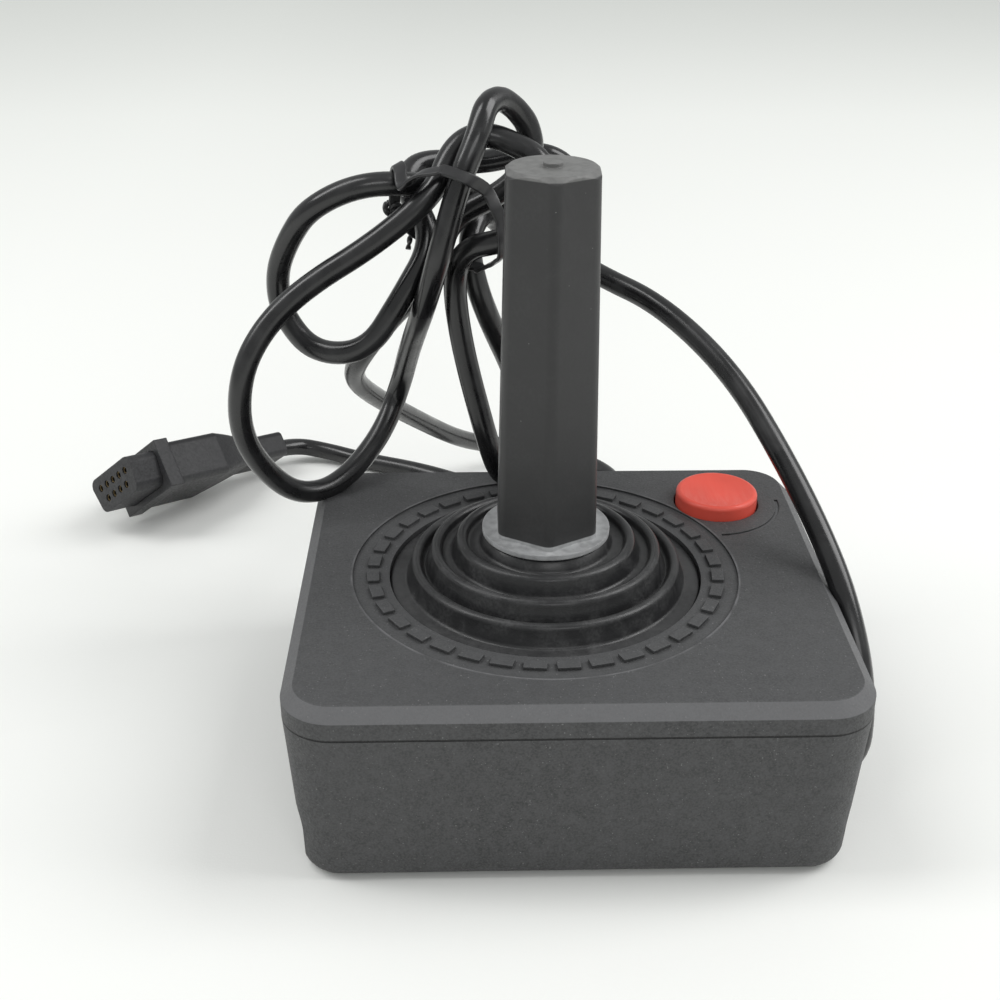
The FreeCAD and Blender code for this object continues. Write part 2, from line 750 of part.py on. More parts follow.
def stick_shaft():
    """The white post inside the grip: a bell that caps the ball, a hub with four pads, and the shaft."""
    body = body_called("stick_shaft")
    socket = S.ball_radius + S.fit
    rise = S.bell_shoulder - S.pivot_height
    mouth = Size(math.sqrt(socket.number**2 - rise.number**2), f"sqrt({socket.text}^2 - {rise.text}^2)")
    corners = [
        (mouth, S.bell_shoulder, -socket), (S.bell_bore_radius, S.bell_shoulder),
        (S.bell_bore_radius, S.bell_foot),
        (S.bell_radius, S.bell_foot), (S.bell_radius, S.hub_foot), (S.hub_radius, S.hub_foot),
        (S.hub_radius, S.hub_top), (S.bell_radius, S.hub_top), (S.bell_radius, S.bell_top - S.pad_radius),
        (S.shaft_radius, S.bell_top), (S.shaft_radius, S.shaft_top - S.cap_chamfer),
        (S.shaft_radius - S.cap_chamfer, S.shaft_top), (0, S.shaft_top),
        (0, S.pivot_height + socket),
    ]
    revolution(outline(sketch_on(body, "shaft_profile", "XZ_Plane"), corners))
    pads = sketch_on(body, "contact_pads", lift=PAD_FOOT)
    reach = S.pad_circle_radius
    pad(circles(pads, S.pad_radius, [(reach, 0), (-reach, 0), (0, reach), (0, -reach)]),
        (S.hub_foot + S.hub_top) / 2 - PAD_FOOT)
    put(body, S.stick_x, S.stick_y)
    return body


def hexagon(sketch, flats):
    """A round-cornered hexagon about the sketch's origin, with a corner to the front and one behind."""
    reach = flats / math.sqrt(3)
    cut = S.grip_rounding / math.sqrt(3)
    corners = []
    for turn in range(-90, 270, 60):
        for side, radius in ((turn - 120, ()), (turn + 120, (S.grip_rounding,))):
            x = reach * cosine(turn) + cut * cosine(side)
            y = reach * sine(turn) + cut * sine(side)
            corners.append((x, y, *radius))
    return outline(sketch, corners)


def grip():
    """The hexagonal sleeve of the stick with its flared collar, chamfered cap and centre pip."""
    body = body_called("grip")
    low = hexagon(sketch_on(body, "hexagon_low", lift=COLLAR_FOOT), S.grip_flats_low)
    high = hexagon(sketch_on(body, "hexagon_high", lift=S.grip_top), S.grip_flats_high)
    sleeve = body.newObject("PartDesign::AdditiveLoft", "sleeve")
    sleeve.Profile = low
    sleeve.Sections = [high]
    sleeve.Ruled = True
    cap = sketch_on(body, "cap_turning", "XZ_Plane")
    edge = S.grip_flats_high / 2 - S.cap_chamfer / 3
    clear = edge + 3 * S.cap_chamfer
    outline(cap, [
        (edge, S.grip_top + S.pip_height), (edge, S.grip_top),
        (clear, S.grip_top - 2.4 * S.cap_chamfer), (clear, S.grip_top + S.pip_height),
    ])
    groove(cap)
    pip = sketch_on(body, "pip", lift=S.grip_top - S.pip_height)
    pad(circles(pip, S.pip_radius), 2 * S.pip_height)
    collar = sketch_on(body, "collar", "XZ_Plane")
    top = COLLAR_FOOT + S.collar_thickness
    root = S.grip_flats_low / 2 - S.grip_rounding
    outline(collar, [
        (0, COLLAR_FOOT), (S.collar_radius, COLLAR_FOOT), (S.collar_radius, top - S.collar_thickness / 3),
        (root, top + S.collar_thickness, -3 * S.collar_thickness), (0, top + S.collar_thickness),
    ])
    revolution(collar)
    bore = sketch_on(body, "shaft_bore", lift=COLLAR_FOOT)
    pocket(circles(bore, S.shaft_radius + S.fit), S.shaft_top + S.fit - COLLAR_FOOT, upwards=True)
    put(body, S.stick_x, S.stick_y)
    return body


def boot():
    """The rubber boot: a flat flange and three stepped pleats with round beads, open at the shaft."""
    wall, bead = S.boot_wall, S.bead_radius
    crests = [
        (S.outer_crest_radius, S.outer_crest_height),
        (S.middle_crest_radius, S.middle_crest_height),
        (S.inner_crest_radius, S.inner_crest_height),
    ]
    throat = S.collar_radius + S.pleat_lean - wall
    roots = [radius + S.pleat_lean for radius in (S.middle_crest_radius, S.inner_crest_radius, throat)]
    foot = S.boot_flange_top - S.boot_flange_thickness
    skirt = S.outer_crest_radius + S.pleat_lean
    lip = S.shaft_radius + S.play
    outside = [(S.boot_flange_radius, foot), (S.boot_flange_radius, S.boot_flange_top),
               (skirt, S.boot_flange_top)]
    inside = [(skirt - wall, foot)]
    for (radius, height), root in zip(crests, roots):
        trough = height - S.trough_depth
        outside += [
            (radius, height - bead), (radius - bead, height, bead),
            (radius - 2 * bead, height - bead, bead),
            (radius - 2 * bead, trough), (root, trough),
        ]
        inside += [(radius - wall, trough - wall), (root - wall, trough - wall)]
    outside += [(throat, S.boot_top), (lip, S.boot_top)]
    inside += [(throat - wall, S.boot_top - wall), (lip, S.boot_top - wall)]
    return turned("boot", outside + inside[::-1])


def fire_button():
    """The round button: dished cap, retaining flange under the lid, and the plunger to its dome."""
    outer, lip = S.button_radius, S.button_lip
    flange = outer + S.button_flange_width
    flange_top = LID_CEILING - S.play
    flange_foot = flange_top - S.button_flange_thickness
    inner = outer - lip
    dish = (inner * inner + S.button_dish * S.button_dish) / (2 * S.button_dish)
    return turned("fire_button", [
        (0, PAD_FOOT), (S.plunger_radius, PAD_FOOT), (S.plunger_radius, flange_foot),
        (flange, flange_foot), (flange, flange_top), (outer, flange_top), (outer, S.button_top - lip),
        (inner, S.button_top, lip), (0, S.button_top - S.button_dish, -dish),
    ], (S.button_x, S.button_y))


def strain_relief():
    """The grommet that holds the cord in the wall, with a flange on the inside."""
    body = body_called("strain_relief")
    bore = S.cord_diameter / 2
    barrel = bore + S.grommet_wall
    inner_face = S.case_width / 2 - S.wall - DRAFT * (S.seam_height - S.cord_exit_z + 3 * S.grommet_flange)
    flange_face = inner_face - S.play
    profile = sketch_on(body, "grommet_profile", "XZ_Plane")
    revolution(outline(profile, [
        (bore, 0), (barrel + S.grommet_flange, 0), (barrel + S.grommet_flange, S.grommet_thickness),
        (barrel, S.grommet_thickness), (barrel, BAND_FACE_X - flange_face + S.grommet_thickness),
        (bore, BAND_FACE_X - flange_face + S.grommet_thickness),
    ]))
    body.Placement = Placement(Vector(), Rotation(Vector(0, 1, 0), 90))
    put(body, flange_face - S.grommet_thickness, CORD_EXIT_Y, S.cord_exit_z)
    return body


def wire_header():
    """The header on the board that the cord's wires plug into."""
    body = body_called("wire_header")
    block = sketch_on(body, "header_plan", lift=BOARD_TOP, right=HEADER_X, up=CORD_EXIT_Y)
    rounded_rectangle(block, S.header_width, S.header_length, S.wire_radius)
    pad(block, S.header_height)
    return body


def cord_wires():
    """The five wires that fan out of the cord's jacket and drop into the header."""
    bends = [(JACKET_END_X, S.cord_exit_z), (JACKET_END_X - WIRE_STEP, S.cord_exit_z),
             (HEADER_X + WIRE_STEP, WIRE_TOP), (HEADER_X, WIRE_TOP), (HEADER_X, BOARD_TOP + S.header_height)]
    spread = S.header_length.number / (WIRE_COUNT + 1)
    bunch = S.cord_diameter.number / (WIRE_COUNT + 1)
    wires = []
    for count in range(WIRE_COUNT):
        aside = count - (WIRE_COUNT - 1) / 2
        points = [
            Vector(x.number, CORD_EXIT_Y.number + aside * (bunch if near else spread), z.number)
            for (x, z), near in zip(bends, (True, True, False, False, False))
        ]
        wires.append(tube(rounded_path(points), S.wire_radius.number))
    return feature_called("cord_wires", Part.Compound(wires))


def plug_frame(thing, along=0):
    """Set a plug piece, modelled along +X from the nose, into the plug's place on the table."""
    turn = Rotation(PLUG_YAW, PLUG_PITCH, PLUG_ROLL)
    thing.Placement = Placement(Vector(*PLUG_NOSE) + turn.multVec(Vector(along, 0, 0)), turn)
    return thing


def d_outline(sketch, width, height, radius):
    """The D of the plug's nose: round corners, with the sides drawn in towards the narrow row."""
    x, y = width / 2, height / 2
    lean = height * tangent(10) / 2
    wide, narrow = x + lean / 2, x - lean / 2
    corners = [
        (wide - radius, y), (radius - wide, y), (-wide, y - radius, radius), (-narrow, radius - y),
        (radius - narrow, -y, radius), (narrow - radius, -y), (narrow, radius - y, radius),
        (wide, y - radius), (wide - radius, y, radius),
    ]
    return outline(sketch, corners[1:])


def plug_body():
    """The plug's hood: front lip, long grip that tapers to the cord, and the block the cord leaves by."""
    body = body_called("plug_body")
    lip_end = S.nose_length + S.plug_lip_length
    shoulder = S.nose_length + S.plug_shoulder
    end = S.nose_length + S.plug_length
    back = end + S.plug_back_length
    half_lip, half, half_back = S.plug_width / 2, S.plug_width / 2 - S.plug_lip_step, S.plug_back_width / 2
    taper = 3 * (end - shoulder)
    plan = sketch_on(body, "hood_plan", lift=-S.plug_height / 2)
    outline(plan, [
        (S.nose_length, -half_lip), (lip_end, -half_lip), (lip_end, -half), (shoulder, -half),
        (end, -half_back, taper), (back, -half_back), (back, half_back), (end, half_back),
        (shoulder, half, taper), (lip_end, half), (lip_end, half_lip), (S.nose_length, half_lip),
    ])
    pad(plan, S.plug_height)
    side = sketch_on(body, "hood_side", "XZ_Plane")
    clear = S.plug_height
    low = S.plug_height / 2 - S.plug_lip_step
    low_back = S.plug_back_height / 2
    outline(side, [
        (lip_end, clear), (lip_end, low), (shoulder, low), (end, low_back), (back + clear, low_back),
        (back + clear, clear),
    ])
    pocket_through(side)
    under = sketch_on(body, "hood_underside", "XZ_Plane")
    outline(under, [
        (lip_end, -clear), (back + clear, -clear), (back + clear, -low_back), (end, -low_back),
        (shoulder, -low), (lip_end, -low),
    ])
    pocket_through(under)
    socket = sketch_on(body, "nose_socket", "YZ_Plane", lift=S.nose_length)
    d_outline(socket, S.nose_width + 2 * S.fit, S.nose_height + 2 * S.fit, S.nose_rounding + S.fit)
    hollow = pocket(socket, S.nose_seat, upwards=True)
    soften(hollow, "Fillet", S.plug_rounding, is_long_edge)
    return plug_frame(body)


def is_long_edge(edge, middle):
    """An outer edge of the hood that runs with its length."""
    box = edge.BoundBox
    outside = abs(middle.y) > S.plug_back_width.number / 2 - 0.01
    return outside and box.XLength > 4 and box.XLength > box.YLength + box.ZLength


def plug_nose():
    """The D-shaped insulator with nine holes."""
    body = body_called("plug_nose")
    face = sketch_on(body, "nose_face", "YZ_Plane")
    d_outline(face, S.nose_width, S.nose_height, S.nose_rounding)
    circles(face, S.socket_radius, socket_places())
    pad(face, S.nose_length + S.nose_seat - S.fit)
    return plug_frame(body)


def socket_places():
    """Nine contacts in a row of five and a row of four."""
    rows = ((5, S.socket_row_gap / 2), (4, -S.socket_row_gap / 2))
    return [
        ((number - (count - 1) / 2) * S.socket_pitch, height)
        for count, height in rows for number in range(count)
    ]


def plug_contacts():
    """The nine contact tubes inside the nose."""
    body = body_called("plug_contacts")
    ends = sketch_on(body, "contact_ends", "YZ_Plane", lift=S.play)
    circles(ends, S.socket_radius - S.fit, socket_places())
    circles(ends, S.socket_radius - S.fit - S.contact_wall, socket_places())
    pad(ends, S.nose_length)
    return plug_frame(body)


def compass(degrees):
    """A direction in the upright plane that the hank hangs in."""
    angle = math.radians(degrees)
    return Vector(math.cos(angle), 0, math.sin(angle))


def biarc(start, heading, end, leaving):
    """Two arcs that join smoothly, from one point and heading to another, with their radii."""
    chord, total = end - start, heading + leaving
    bend = 2 * (1 - heading.dot(leaving))
    if bend < 1e-9:
        reach = chord.dot(chord) / (4 * chord.dot(leaving))
    else:
        reach = (math.sqrt(chord.dot(total) ** 2 + bend * chord.dot(chord)) - chord.dot(total)) / bend
    first, second = start + heading * reach, end - leaving * reach
    middle = (first + second) * 0.5
    pieces = [arc_from(start, heading, middle), arc_from(middle, (second - first).normalize(), end)]
    return [piece.toShape() for piece, _ in pieces], [radius for _, radius in pieces]


def hank_route():
    """The stations of the hank: in from the lead, through the tie and round each loop, out to the tail."""
    start, end = Vector(*LEAD_POINTS[-1]), Vector(*TAIL_POINTS[0])
    lead_in = (start - Vector(*LEAD_POINTS[-2])).normalize()
    tail_out = (Vector(*TAIL_POINTS[1]) - end).normalize()
    straight = S.cord_diameter.number
    across = -Rotation(BACK, WAIST_LEAN).multVec(Vector(1, 0, 0))
    passes = [
        (HANK_WAIST + across * through.aside + BACK * through.back, compass(through.heading))
        for through in HANK_PASSES
    ]
    route = [(start, lead_in), (start + lead_in * straight, lead_in), passes[0]]
    for loop, after in zip(HANK_LOOPS, passes[1:]):
        route += loop.stations() + [after]
    return route + [(end - tail_out * straight, tail_out), (end, tail_out)]


def least_gap(path, diameter):
    """The least gap between stretches of the path that are over three diameters apart along it."""
    places = path.discretize(Distance=diameter / 4)
    apart = 12
    return min(
        place.distanceToPoint(other)
        for number, place in enumerate(places)
        for other in places[number + apart:]
    ) - diameter


def cord_hank():
    """The hank: one unbroken tube that runs round its six loops and seven times through the tie."""
    route = hank_route()
    edges, radii = [], []
    for (start, heading), (end, leaving) in zip(route, route[1:]):
        arcs, sizes = biarc(start, heading, end, leaving)
        edges += arcs
        radii += sizes
    path = Part.Wire(edges)
    shape = tube(path, S.cord_diameter.number / 2)
    ratio = shape.Volume / (math.pi * (S.cord_diameter.number / 2) ** 2 * path.Length)
    print(f"cord_hank: length {path.Length:.1f}, least radius {min(radii):.2f}, volume ratio {ratio:.4f}, "
          f"least gap {least_gap(path, S.cord_diameter.number):.2f}")
    return feature_called("cord_hank", shape)


def cord_tie():
    """The thin strap round the bundle, with its knot and a twisted end."""
    body = body_called("cord_tie")
    band = sketch_on(body, "tie_band", lift=-S.tie_width / 2)
    for outset in (as_size(0), S.tie_thickness):
        rounded_rectangle(band, S.tie_span + 2 * outset, S.tie_depth + 2 * outset, S.tie_rounding + outset)
    pad(band, S.tie_width)
    outside = S.tie_depth / 2 + 2 * S.tie_thickness
    knot = sketch_on(body, "tie_knot", lift=-S.tie_width / 2, right=S.tie_knot_along, up=outside)
    rounded_rectangle(knot, 2 * S.tie_width, 3 * S.tie_thickness, S.tie_thickness)
    pad(knot, S.tie_width)
    stub = sketch_on(body, "tie_stub", lift=-S.tie_width / 4, up=outside,
                     right=S.tie_knot_along + S.tie_stub_length / 2)
    rounded_rectangle(stub, S.tie_stub_length, 2 * S.tie_thickness, S.tie_thickness / 2)
    pad(stub, S.tie_width / 2)
    body.Placement = Placement(Vector(*TIE_CENTRE), Rotation(*TIE_TURN))
    return body


def write_parts(parts):
    """Check every object and sub-part, then write each sub-part to its own file."""
    DOC.recompute()
    for thing in DOC.Objects:
        if "Invalid" in thing.State or "Error" in thing.State:
            raise RuntimeError(f"{thing.Label}: {thing.State}")
    os.makedirs("parts", exist_ok=True)
    for part in parts:
        shape = part.Shape
        if shape.isNull() or not shape.isValid():
            raise RuntimeError(f"{part.Label} has no valid shape")
        shape.exportStep(f"parts/{part.Label}.step")
        print(part.Label, len(shape.Solids), round(shape.Volume, 1), shape.BoundBox)


write_parts([
    bottom_shell(), top_shell(), case_screws(), circuit_board(), *contact_domes(), pivot_ball(),
    stick_shaft(), grip(), boot(), fire_button(), strain_relief(), wire_header(), cord_wires(),
    cord("cord_lead", LEAD_POINTS), cord_hank(), cord("cord_tail", TAIL_POINTS), cord_tie(),
    plug_body(), plug_nose(), plug_contacts(),
])
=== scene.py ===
"""Looks of the joystick controller: bevelled housing, hexagonal stick in a pleated rubber boot, round fire
button, and a long glossy cord tied in a hank that ends in a nine-way plug.

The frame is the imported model's: metres, the origin at the centre of the housing's footprint, X right, Y away
from the player, Z up. Sizes in the classes are millimetres, as in the part's source.
"""

import logging
import math
from collections.abc import Callable, Iterable, Sequence
from dataclasses import dataclass
from enum import Enum

import bmesh
import bpy
from mathutils import Matrix, Vector


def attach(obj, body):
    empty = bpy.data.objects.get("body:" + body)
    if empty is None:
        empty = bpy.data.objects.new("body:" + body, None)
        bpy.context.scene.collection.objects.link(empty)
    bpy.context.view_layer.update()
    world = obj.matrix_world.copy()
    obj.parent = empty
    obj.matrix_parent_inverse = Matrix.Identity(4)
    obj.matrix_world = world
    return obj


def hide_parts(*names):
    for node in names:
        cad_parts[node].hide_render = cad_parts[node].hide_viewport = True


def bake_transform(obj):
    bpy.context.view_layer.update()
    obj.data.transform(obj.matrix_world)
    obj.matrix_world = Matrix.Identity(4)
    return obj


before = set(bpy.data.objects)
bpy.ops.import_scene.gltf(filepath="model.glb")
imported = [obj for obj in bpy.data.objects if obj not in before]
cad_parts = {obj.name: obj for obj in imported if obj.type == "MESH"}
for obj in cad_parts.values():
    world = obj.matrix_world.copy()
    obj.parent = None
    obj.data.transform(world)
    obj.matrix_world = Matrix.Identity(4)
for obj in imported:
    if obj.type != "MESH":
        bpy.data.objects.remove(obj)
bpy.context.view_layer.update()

MM = 0.001
LOG = logging.getLogger("joystick")
Colour = tuple[float, float, float]
Point = tuple[float, float, float]
Profile = list[tuple[float, float]]


class Body(Enum):
    """The bodies of the frame that pieces ride on."""

    BASE = "base"
    PIVOT = "pivot"
    STICK = "stick"
    BUTTON = "button"


class Slot(Enum):
    """The material slots of the record."""

    CASE = "case_plastic"
    GRIP = "grip_rubber"
    BUTTON = "button_plastic"
    INNER = "inner_plastic"
    BOARD = "board_laminate"
    SPRING = "spring_steel"
    SCREW = "screw_steel"
    JACKET = "cord_jacket"
    WIRE = "wire_jacket"
    TIE = "tie_plastic"
    PLUG = "plug_plastic"
    CONTACT = "contact_metal"


# ---------------------------------------------------------------- finishes


class Surface:
    """A material under construction: its nodes, its shader and the place on the piece."""

    def __init__(self, name: str, colour: Colour, roughness: float, metallic: float = 0.0,
                 specular: float = 0.5) -> None:
        """Start a material with its plain shader values.

        Args:
            name: The material's name.
            colour: Its colour where no pattern changes it.
            roughness: Its roughness where no pattern changes it.
            metallic: 1 for bare metal, 0 for anything else.
            specular: The shader's specular level.
        """
        self.material = bpy.data.materials.new(name)
        self.material.use_nodes = True
        self.material.diffuse_color = (*colour, 1)
        self.tree = self.material.node_tree
        self.shader = self.tree.nodes["Principled BSDF"]
        self.shader.inputs["Base Color"].default_value = (*colour, 1)
        self.shader.inputs["Roughness"].default_value = roughness
        self.shader.inputs["Metallic"].default_value = metallic
        self.shader.inputs["Specular IOR Level"].default_value = specular
        self.place = self.add("TexCoord").outputs["Object"]

    def add(self, kind: str, **settings: object) -> bpy.types.Node:
        """Add a shader node.

        Args:
            kind: The node's type without its "ShaderNode" start.
            **settings: Its properties.

        Returns:
            The new node.
        """
        node = self.tree.nodes.new("ShaderNode" + kind)
        for key, value in settings.items():
            setattr(node, key, value)
        return node

    def join(self, source: bpy.types.NodeSocket, target: bpy.types.NodeSocket) -> None:
        """Link an output to an input."""
        self.tree.links.new(source, target)

    def stretched(self, along: Point) -> bpy.types.NodeSocket:
        """The place on the piece, scaled along each axis."""
        mapping = self.add("Mapping")
        mapping.inputs["Scale"].default_value = along
        self.join(self.place, mapping.inputs["Vector"])
        return mapping.outputs["Vector"]

    def noise(self, size: float, detail: float = 2.0, place: bpy.types.NodeSocket | None = None,
              distortion: float = 0.0) -> bpy.types.NodeSocket:
        """A cloudy pattern.

        Args:
            size: The size of its patches in millimetres.
            detail: How many finer layers it has.
            place: The coordinates it follows, or the place on the piece.
            distortion: How much it swirls.

        Returns:
            Its value, about 0.5.
        """
        node = self.add("TexNoise")
        node.inputs["Scale"].default_value = 1 / (size * MM)
        node.inputs["Detail"].default_value = detail
        node.inputs["Distortion"].default_value = distortion
        self.join(place or self.place, node.inputs["Vector"])
        return node.outputs["Fac"]

    def specks(self, spacing: float, radius: float) -> bpy.types.NodeSocket:
        """Small round dots, one to a cell.

        Args:
            spacing: The size of a cell in millimetres.
            radius: The dots' radius in millimetres.

        Returns:
            1 on a dot, 0 between them.
        """
        node = self.add("TexVoronoi")
        node.inputs["Scale"].default_value = 1 / (spacing * MM)
        self.join(self.place, node.inputs["Vector"])
        return self.ramp(node.outputs["Distance"], radius / spacing, 0.6 * radius / spacing, 0, 1)

    def ramp(self, source: bpy.types.NodeSocket, start: float, end: float, low: float,
             high: float) -> bpy.types.NodeSocket:
        """Turn the values from start to end into the values from low to high, without passing them."""
        node = self.add("MapRange")
        for name, value in (("From Min", start), ("From Max", end), ("To Min", low), ("To Max", high)):
            node.inputs[name].default_value = value
        self.join(source, node.inputs["Value"])
        return node.outputs["Result"]

    def both(self, first: bpy.types.NodeSocket, second: bpy.types.NodeSocket,
             operation: str = "MULTIPLY") -> bpy.types.NodeSocket:
        """Two values put through one sum."""
        node = self.add("Math", operation=operation)
        self.join(first, node.inputs[0])
        self.join(second, node.inputs[1])
        return node.outputs["Value"]

    def tint(self, factor: bpy.types.NodeSocket, base: Colour | bpy.types.NodeSocket,
             other: Colour) -> bpy.types.NodeSocket:
        """A colour that turns into another one with the factor.

        Args:
            factor: 0 for the base, 1 for the other colour.
            base: A colour or an output that gives one.
            other: The other colour.

        Returns:
            The mixed colour.
        """
        node = self.add("Mix", data_type="RGBA")
        self.join(factor, node.inputs[0])
        if isinstance(base, tuple):
            node.inputs[6].default_value = (*base, 1)
        else:
            self.join(base, node.inputs[6])
        node.inputs[7].default_value = (*other, 1)
        return node.outputs[2]

    def occluded_corners(self, reach: float) -> bpy.types.NodeSocket:
        """Find the narrow corners by ambient occlusion, for painted shade.

        Args:
            reach: How near the next surface has to be, in millimetres.

        Returns:
            1 deep in a corner, 0 in the open.
        """
        shelter = self.add("AmbientOcclusion", samples=6, only_local=True)
        shelter.inputs["Distance"].default_value = reach * MM
        return self.ramp(shelter.outputs["AO"], 0.78, 0.42, 0, 1)

    def height(self, low: float, high: float, fade: float) -> bpy.types.NodeSocket:
        """Find what lies between two heights.

        Args:
            low: The lower height in millimetres.
            high: The upper height in millimetres.
            fade: How far both ends fade out, in millimetres.

        Returns:
            1 between the heights, 0 away from them.
        """
        split = self.add("SeparateXYZ")
        self.join(self.place, split.inputs["Vector"])
        above = self.ramp(split.outputs["Z"], (low - fade) * MM, low * MM, 0, 1)
        below = self.ramp(split.outputs["Z"], high * MM, (high + fade) * MM, 1, 0)
        return self.both(above, below)

    def outside_circle(self, centre: tuple[float, float], radius: float,
                       fade: float) -> bpy.types.NodeSocket:
        """Find what lies further than a radius from an upright axis.

        Args:
            centre: Where the axis stands, in millimetres.
            radius: The radius in millimetres.
            fade: The width of the change in millimetres.

        Returns:
            0 inside the circle, 1 outside.
        """
        flat = self.add("VectorMath", operation="MULTIPLY")
        flat.inputs[1].default_value = (1, 1, 0)
        self.join(self.place, flat.inputs[0])
        distance = self.add("VectorMath", operation="DISTANCE")
        distance.inputs[1].default_value = (centre[0] * MM, centre[1] * MM, 0)
        self.join(flat.outputs["Vector"], distance.inputs[0])
        return self.ramp(distance.outputs["Value"], radius * MM, (radius + fade) * MM, 0, 1)

    def upward(self, start: float = 0.8, end: float = 0.97) -> bpy.types.NodeSocket:
        """1 on faces that look up, 0 on upright ones."""
        face = self.add("NewGeometry")
        split = self.add("SeparateXYZ")
        self.join(face.outputs["True Normal"], split.inputs["Vector"])
        return self.ramp(split.outputs["Z"], start, end, 0, 1)

    def parting_line(self, height: float, half_width: float) -> bpy.types.NodeSocket:
        """The thin gap where two mouldings meet, found for painted shade and a groove.

        Args:
            height: Its height in millimetres.
            half_width: Half the gap in millimetres.

        Returns:
            1 in the gap, 0 away from it.
        """
        split = self.add("SeparateXYZ")
        self.join(self.place, split.inputs["Vector"])
        offset = self.add("Math", operation="SUBTRACT")
        offset.inputs[1].default_value = height * MM
        self.join(split.outputs["Z"], offset.inputs[0])
        distance = self.add("Math", operation="ABSOLUTE")
        self.join(offset.outputs["Value"], distance.inputs[0])
        return self.ramp(distance.outputs["Value"], half_width * MM, 0.5 * half_width * MM, 0, 1)

    def softened_edges(self, radius: float, reach: float = 0.12) -> bpy.types.NodeSocket:
        """Soften the edges, and find them.

        Args:
            radius: The softening in millimetres.
            reach: How far from square the softened normal is where the mask is full.

        Returns:
            1 at an edge, 0 away from it.
        """
        soft = self.add("Bevel", samples=6)
        soft.inputs["Radius"].default_value = radius * MM
        self.soft_normal = soft.outputs["Normal"]
        face = self.add("NewGeometry")
        compare = self.add("VectorMath", operation="DOT_PRODUCT")
        self.join(soft.outputs["Normal"], compare.inputs[0])
        self.join(face.outputs["Normal"], compare.inputs[1])
        return self.ramp(compare.outputs["Value"], 0.995, 1 - reach, 0, 1)

    def colour(self, source: bpy.types.NodeSocket) -> None:
        """Give the shader its colour."""
        self.join(source, self.shader.inputs["Base Color"])

    def roughness(self, source: bpy.types.NodeSocket) -> None:
        """Give the shader its roughness."""
        self.join(source, self.shader.inputs["Roughness"])

    def relief(self, *layers: tuple[bpy.types.NodeSocket, float]) -> None:
        """Stand the surface up along its normal.

        Args:
            *layers: Each height pattern with its depth in millimetres.
        """
        normal = getattr(self, "soft_normal", None)
        for height, depth in layers:
            bump = self.add("Bump")
            bump.inputs["Distance"].default_value = depth * MM
            self.join(height, bump.inputs["Height"])
            if normal is not None:
                self.join(normal, bump.inputs["Normal"])
            normal = bump.outputs["Normal"]
        self.join(normal, self.shader.inputs["Normal"])


@dataclass(frozen=True)
class TexturedPlastic:
    """Moulded plastic from a spark-grained tool: fine pebbles, pale flecks, pale edges from wear and a painted
    highlight, painted light on faces that look up and painted shade in corners.
    """

    name: str
    colour: Colour
    fleck: Colour = (0.2, 0.2, 0.2)
    # The pale tone of edge wear and of painted highlights.
    wear_and_highlight: Colour = (0.15, 0.15, 0.155)
    shade: Colour = (0.003, 0.003, 0.003)
    roughness: float = 0.56
    grain: float = 0.34
    depth: float = 0.035
    edge: float = 0.35
    mottle: float = 0.5

    def material(self) -> bpy.types.Material:
        """Make the material."""
        surface = Surface(self.name, self.colour, self.roughness, specular=0.42)
        pebbles = surface.noise(self.grain, 2)
        clouds = surface.noise(22, 4)
        edge_wear_and_highlight = surface.both(surface.softened_edges(self.edge),
                            surface.ramp(surface.noise(2.2, 4), 0.3, 0.62, 0.15, 1))
        darker = tuple(0.62 * part for part in self.colour)
        colour = surface.tint(surface.ramp(pebbles, 0.38, 0.62, 1, 0), self.colour, darker)
        lighter = tuple(1.3 * part for part in self.colour)
        blotches = surface.both(surface.noise(0.8, 2), surface.noise(2.6, 2), "ADD")
        colour = surface.tint(surface.ramp(blotches, 0.85, 1.2, 0, self.mottle), colour, lighter)
        colour = surface.tint(surface.ramp(clouds, 0.35, 0.7, 0, 0.25), colour, lighter)
        # Painted light: faces that look up are lightened.
        colour = surface.tint(surface.ramp(surface.upward(), 0, 1, 0, 0.42), colour, lighter)
        for spacing, radius in ((0.62, 0.09), (1.15, 0.14)):
            dots = surface.both(surface.specks(spacing, radius),
                                surface.ramp(surface.noise(1.9, 1), 0.4, 0.62, 0, 0.75))
            colour = surface.tint(dots, colour, self.fleck)
        # Pale edges: edge wear together with a painted edge highlight.
        colour = surface.tint(surface.ramp(edge_wear_and_highlight, 0, 1, 0, 0.55), colour, self.wear_and_highlight)
        layers = [(surface.noise(3.5, 2), self.depth), (pebbles, self.depth)]
        colour = self.marks(surface, colour, layers)
        # Painted shade: corners found by ambient occlusion are darkened toward the shade colour.
        surface.colour(surface.tint(surface.ramp(surface.occluded_corners(0.9), 0, 1, 0, 0.8), colour, self.shade))
        surface.roughness(surface.ramp(pebbles, 0.35, 0.65, self.roughness + 0.08, self.roughness - 0.06))
        surface.relief(*layers)
        return surface.material

    def marks(self, surface: Surface, colour: bpy.types.NodeSocket,
              layers: list[tuple[bpy.types.NodeSocket, float]]) -> bpy.types.NodeSocket:
        """Add nothing more to a plain moulding.

        Args:
            surface: The material under construction. Not used here.
            colour: Its colour so far.
            layers: Its relief so far, which may be added to. Not used here.

        Returns:
            The colour.
        """
        return colour


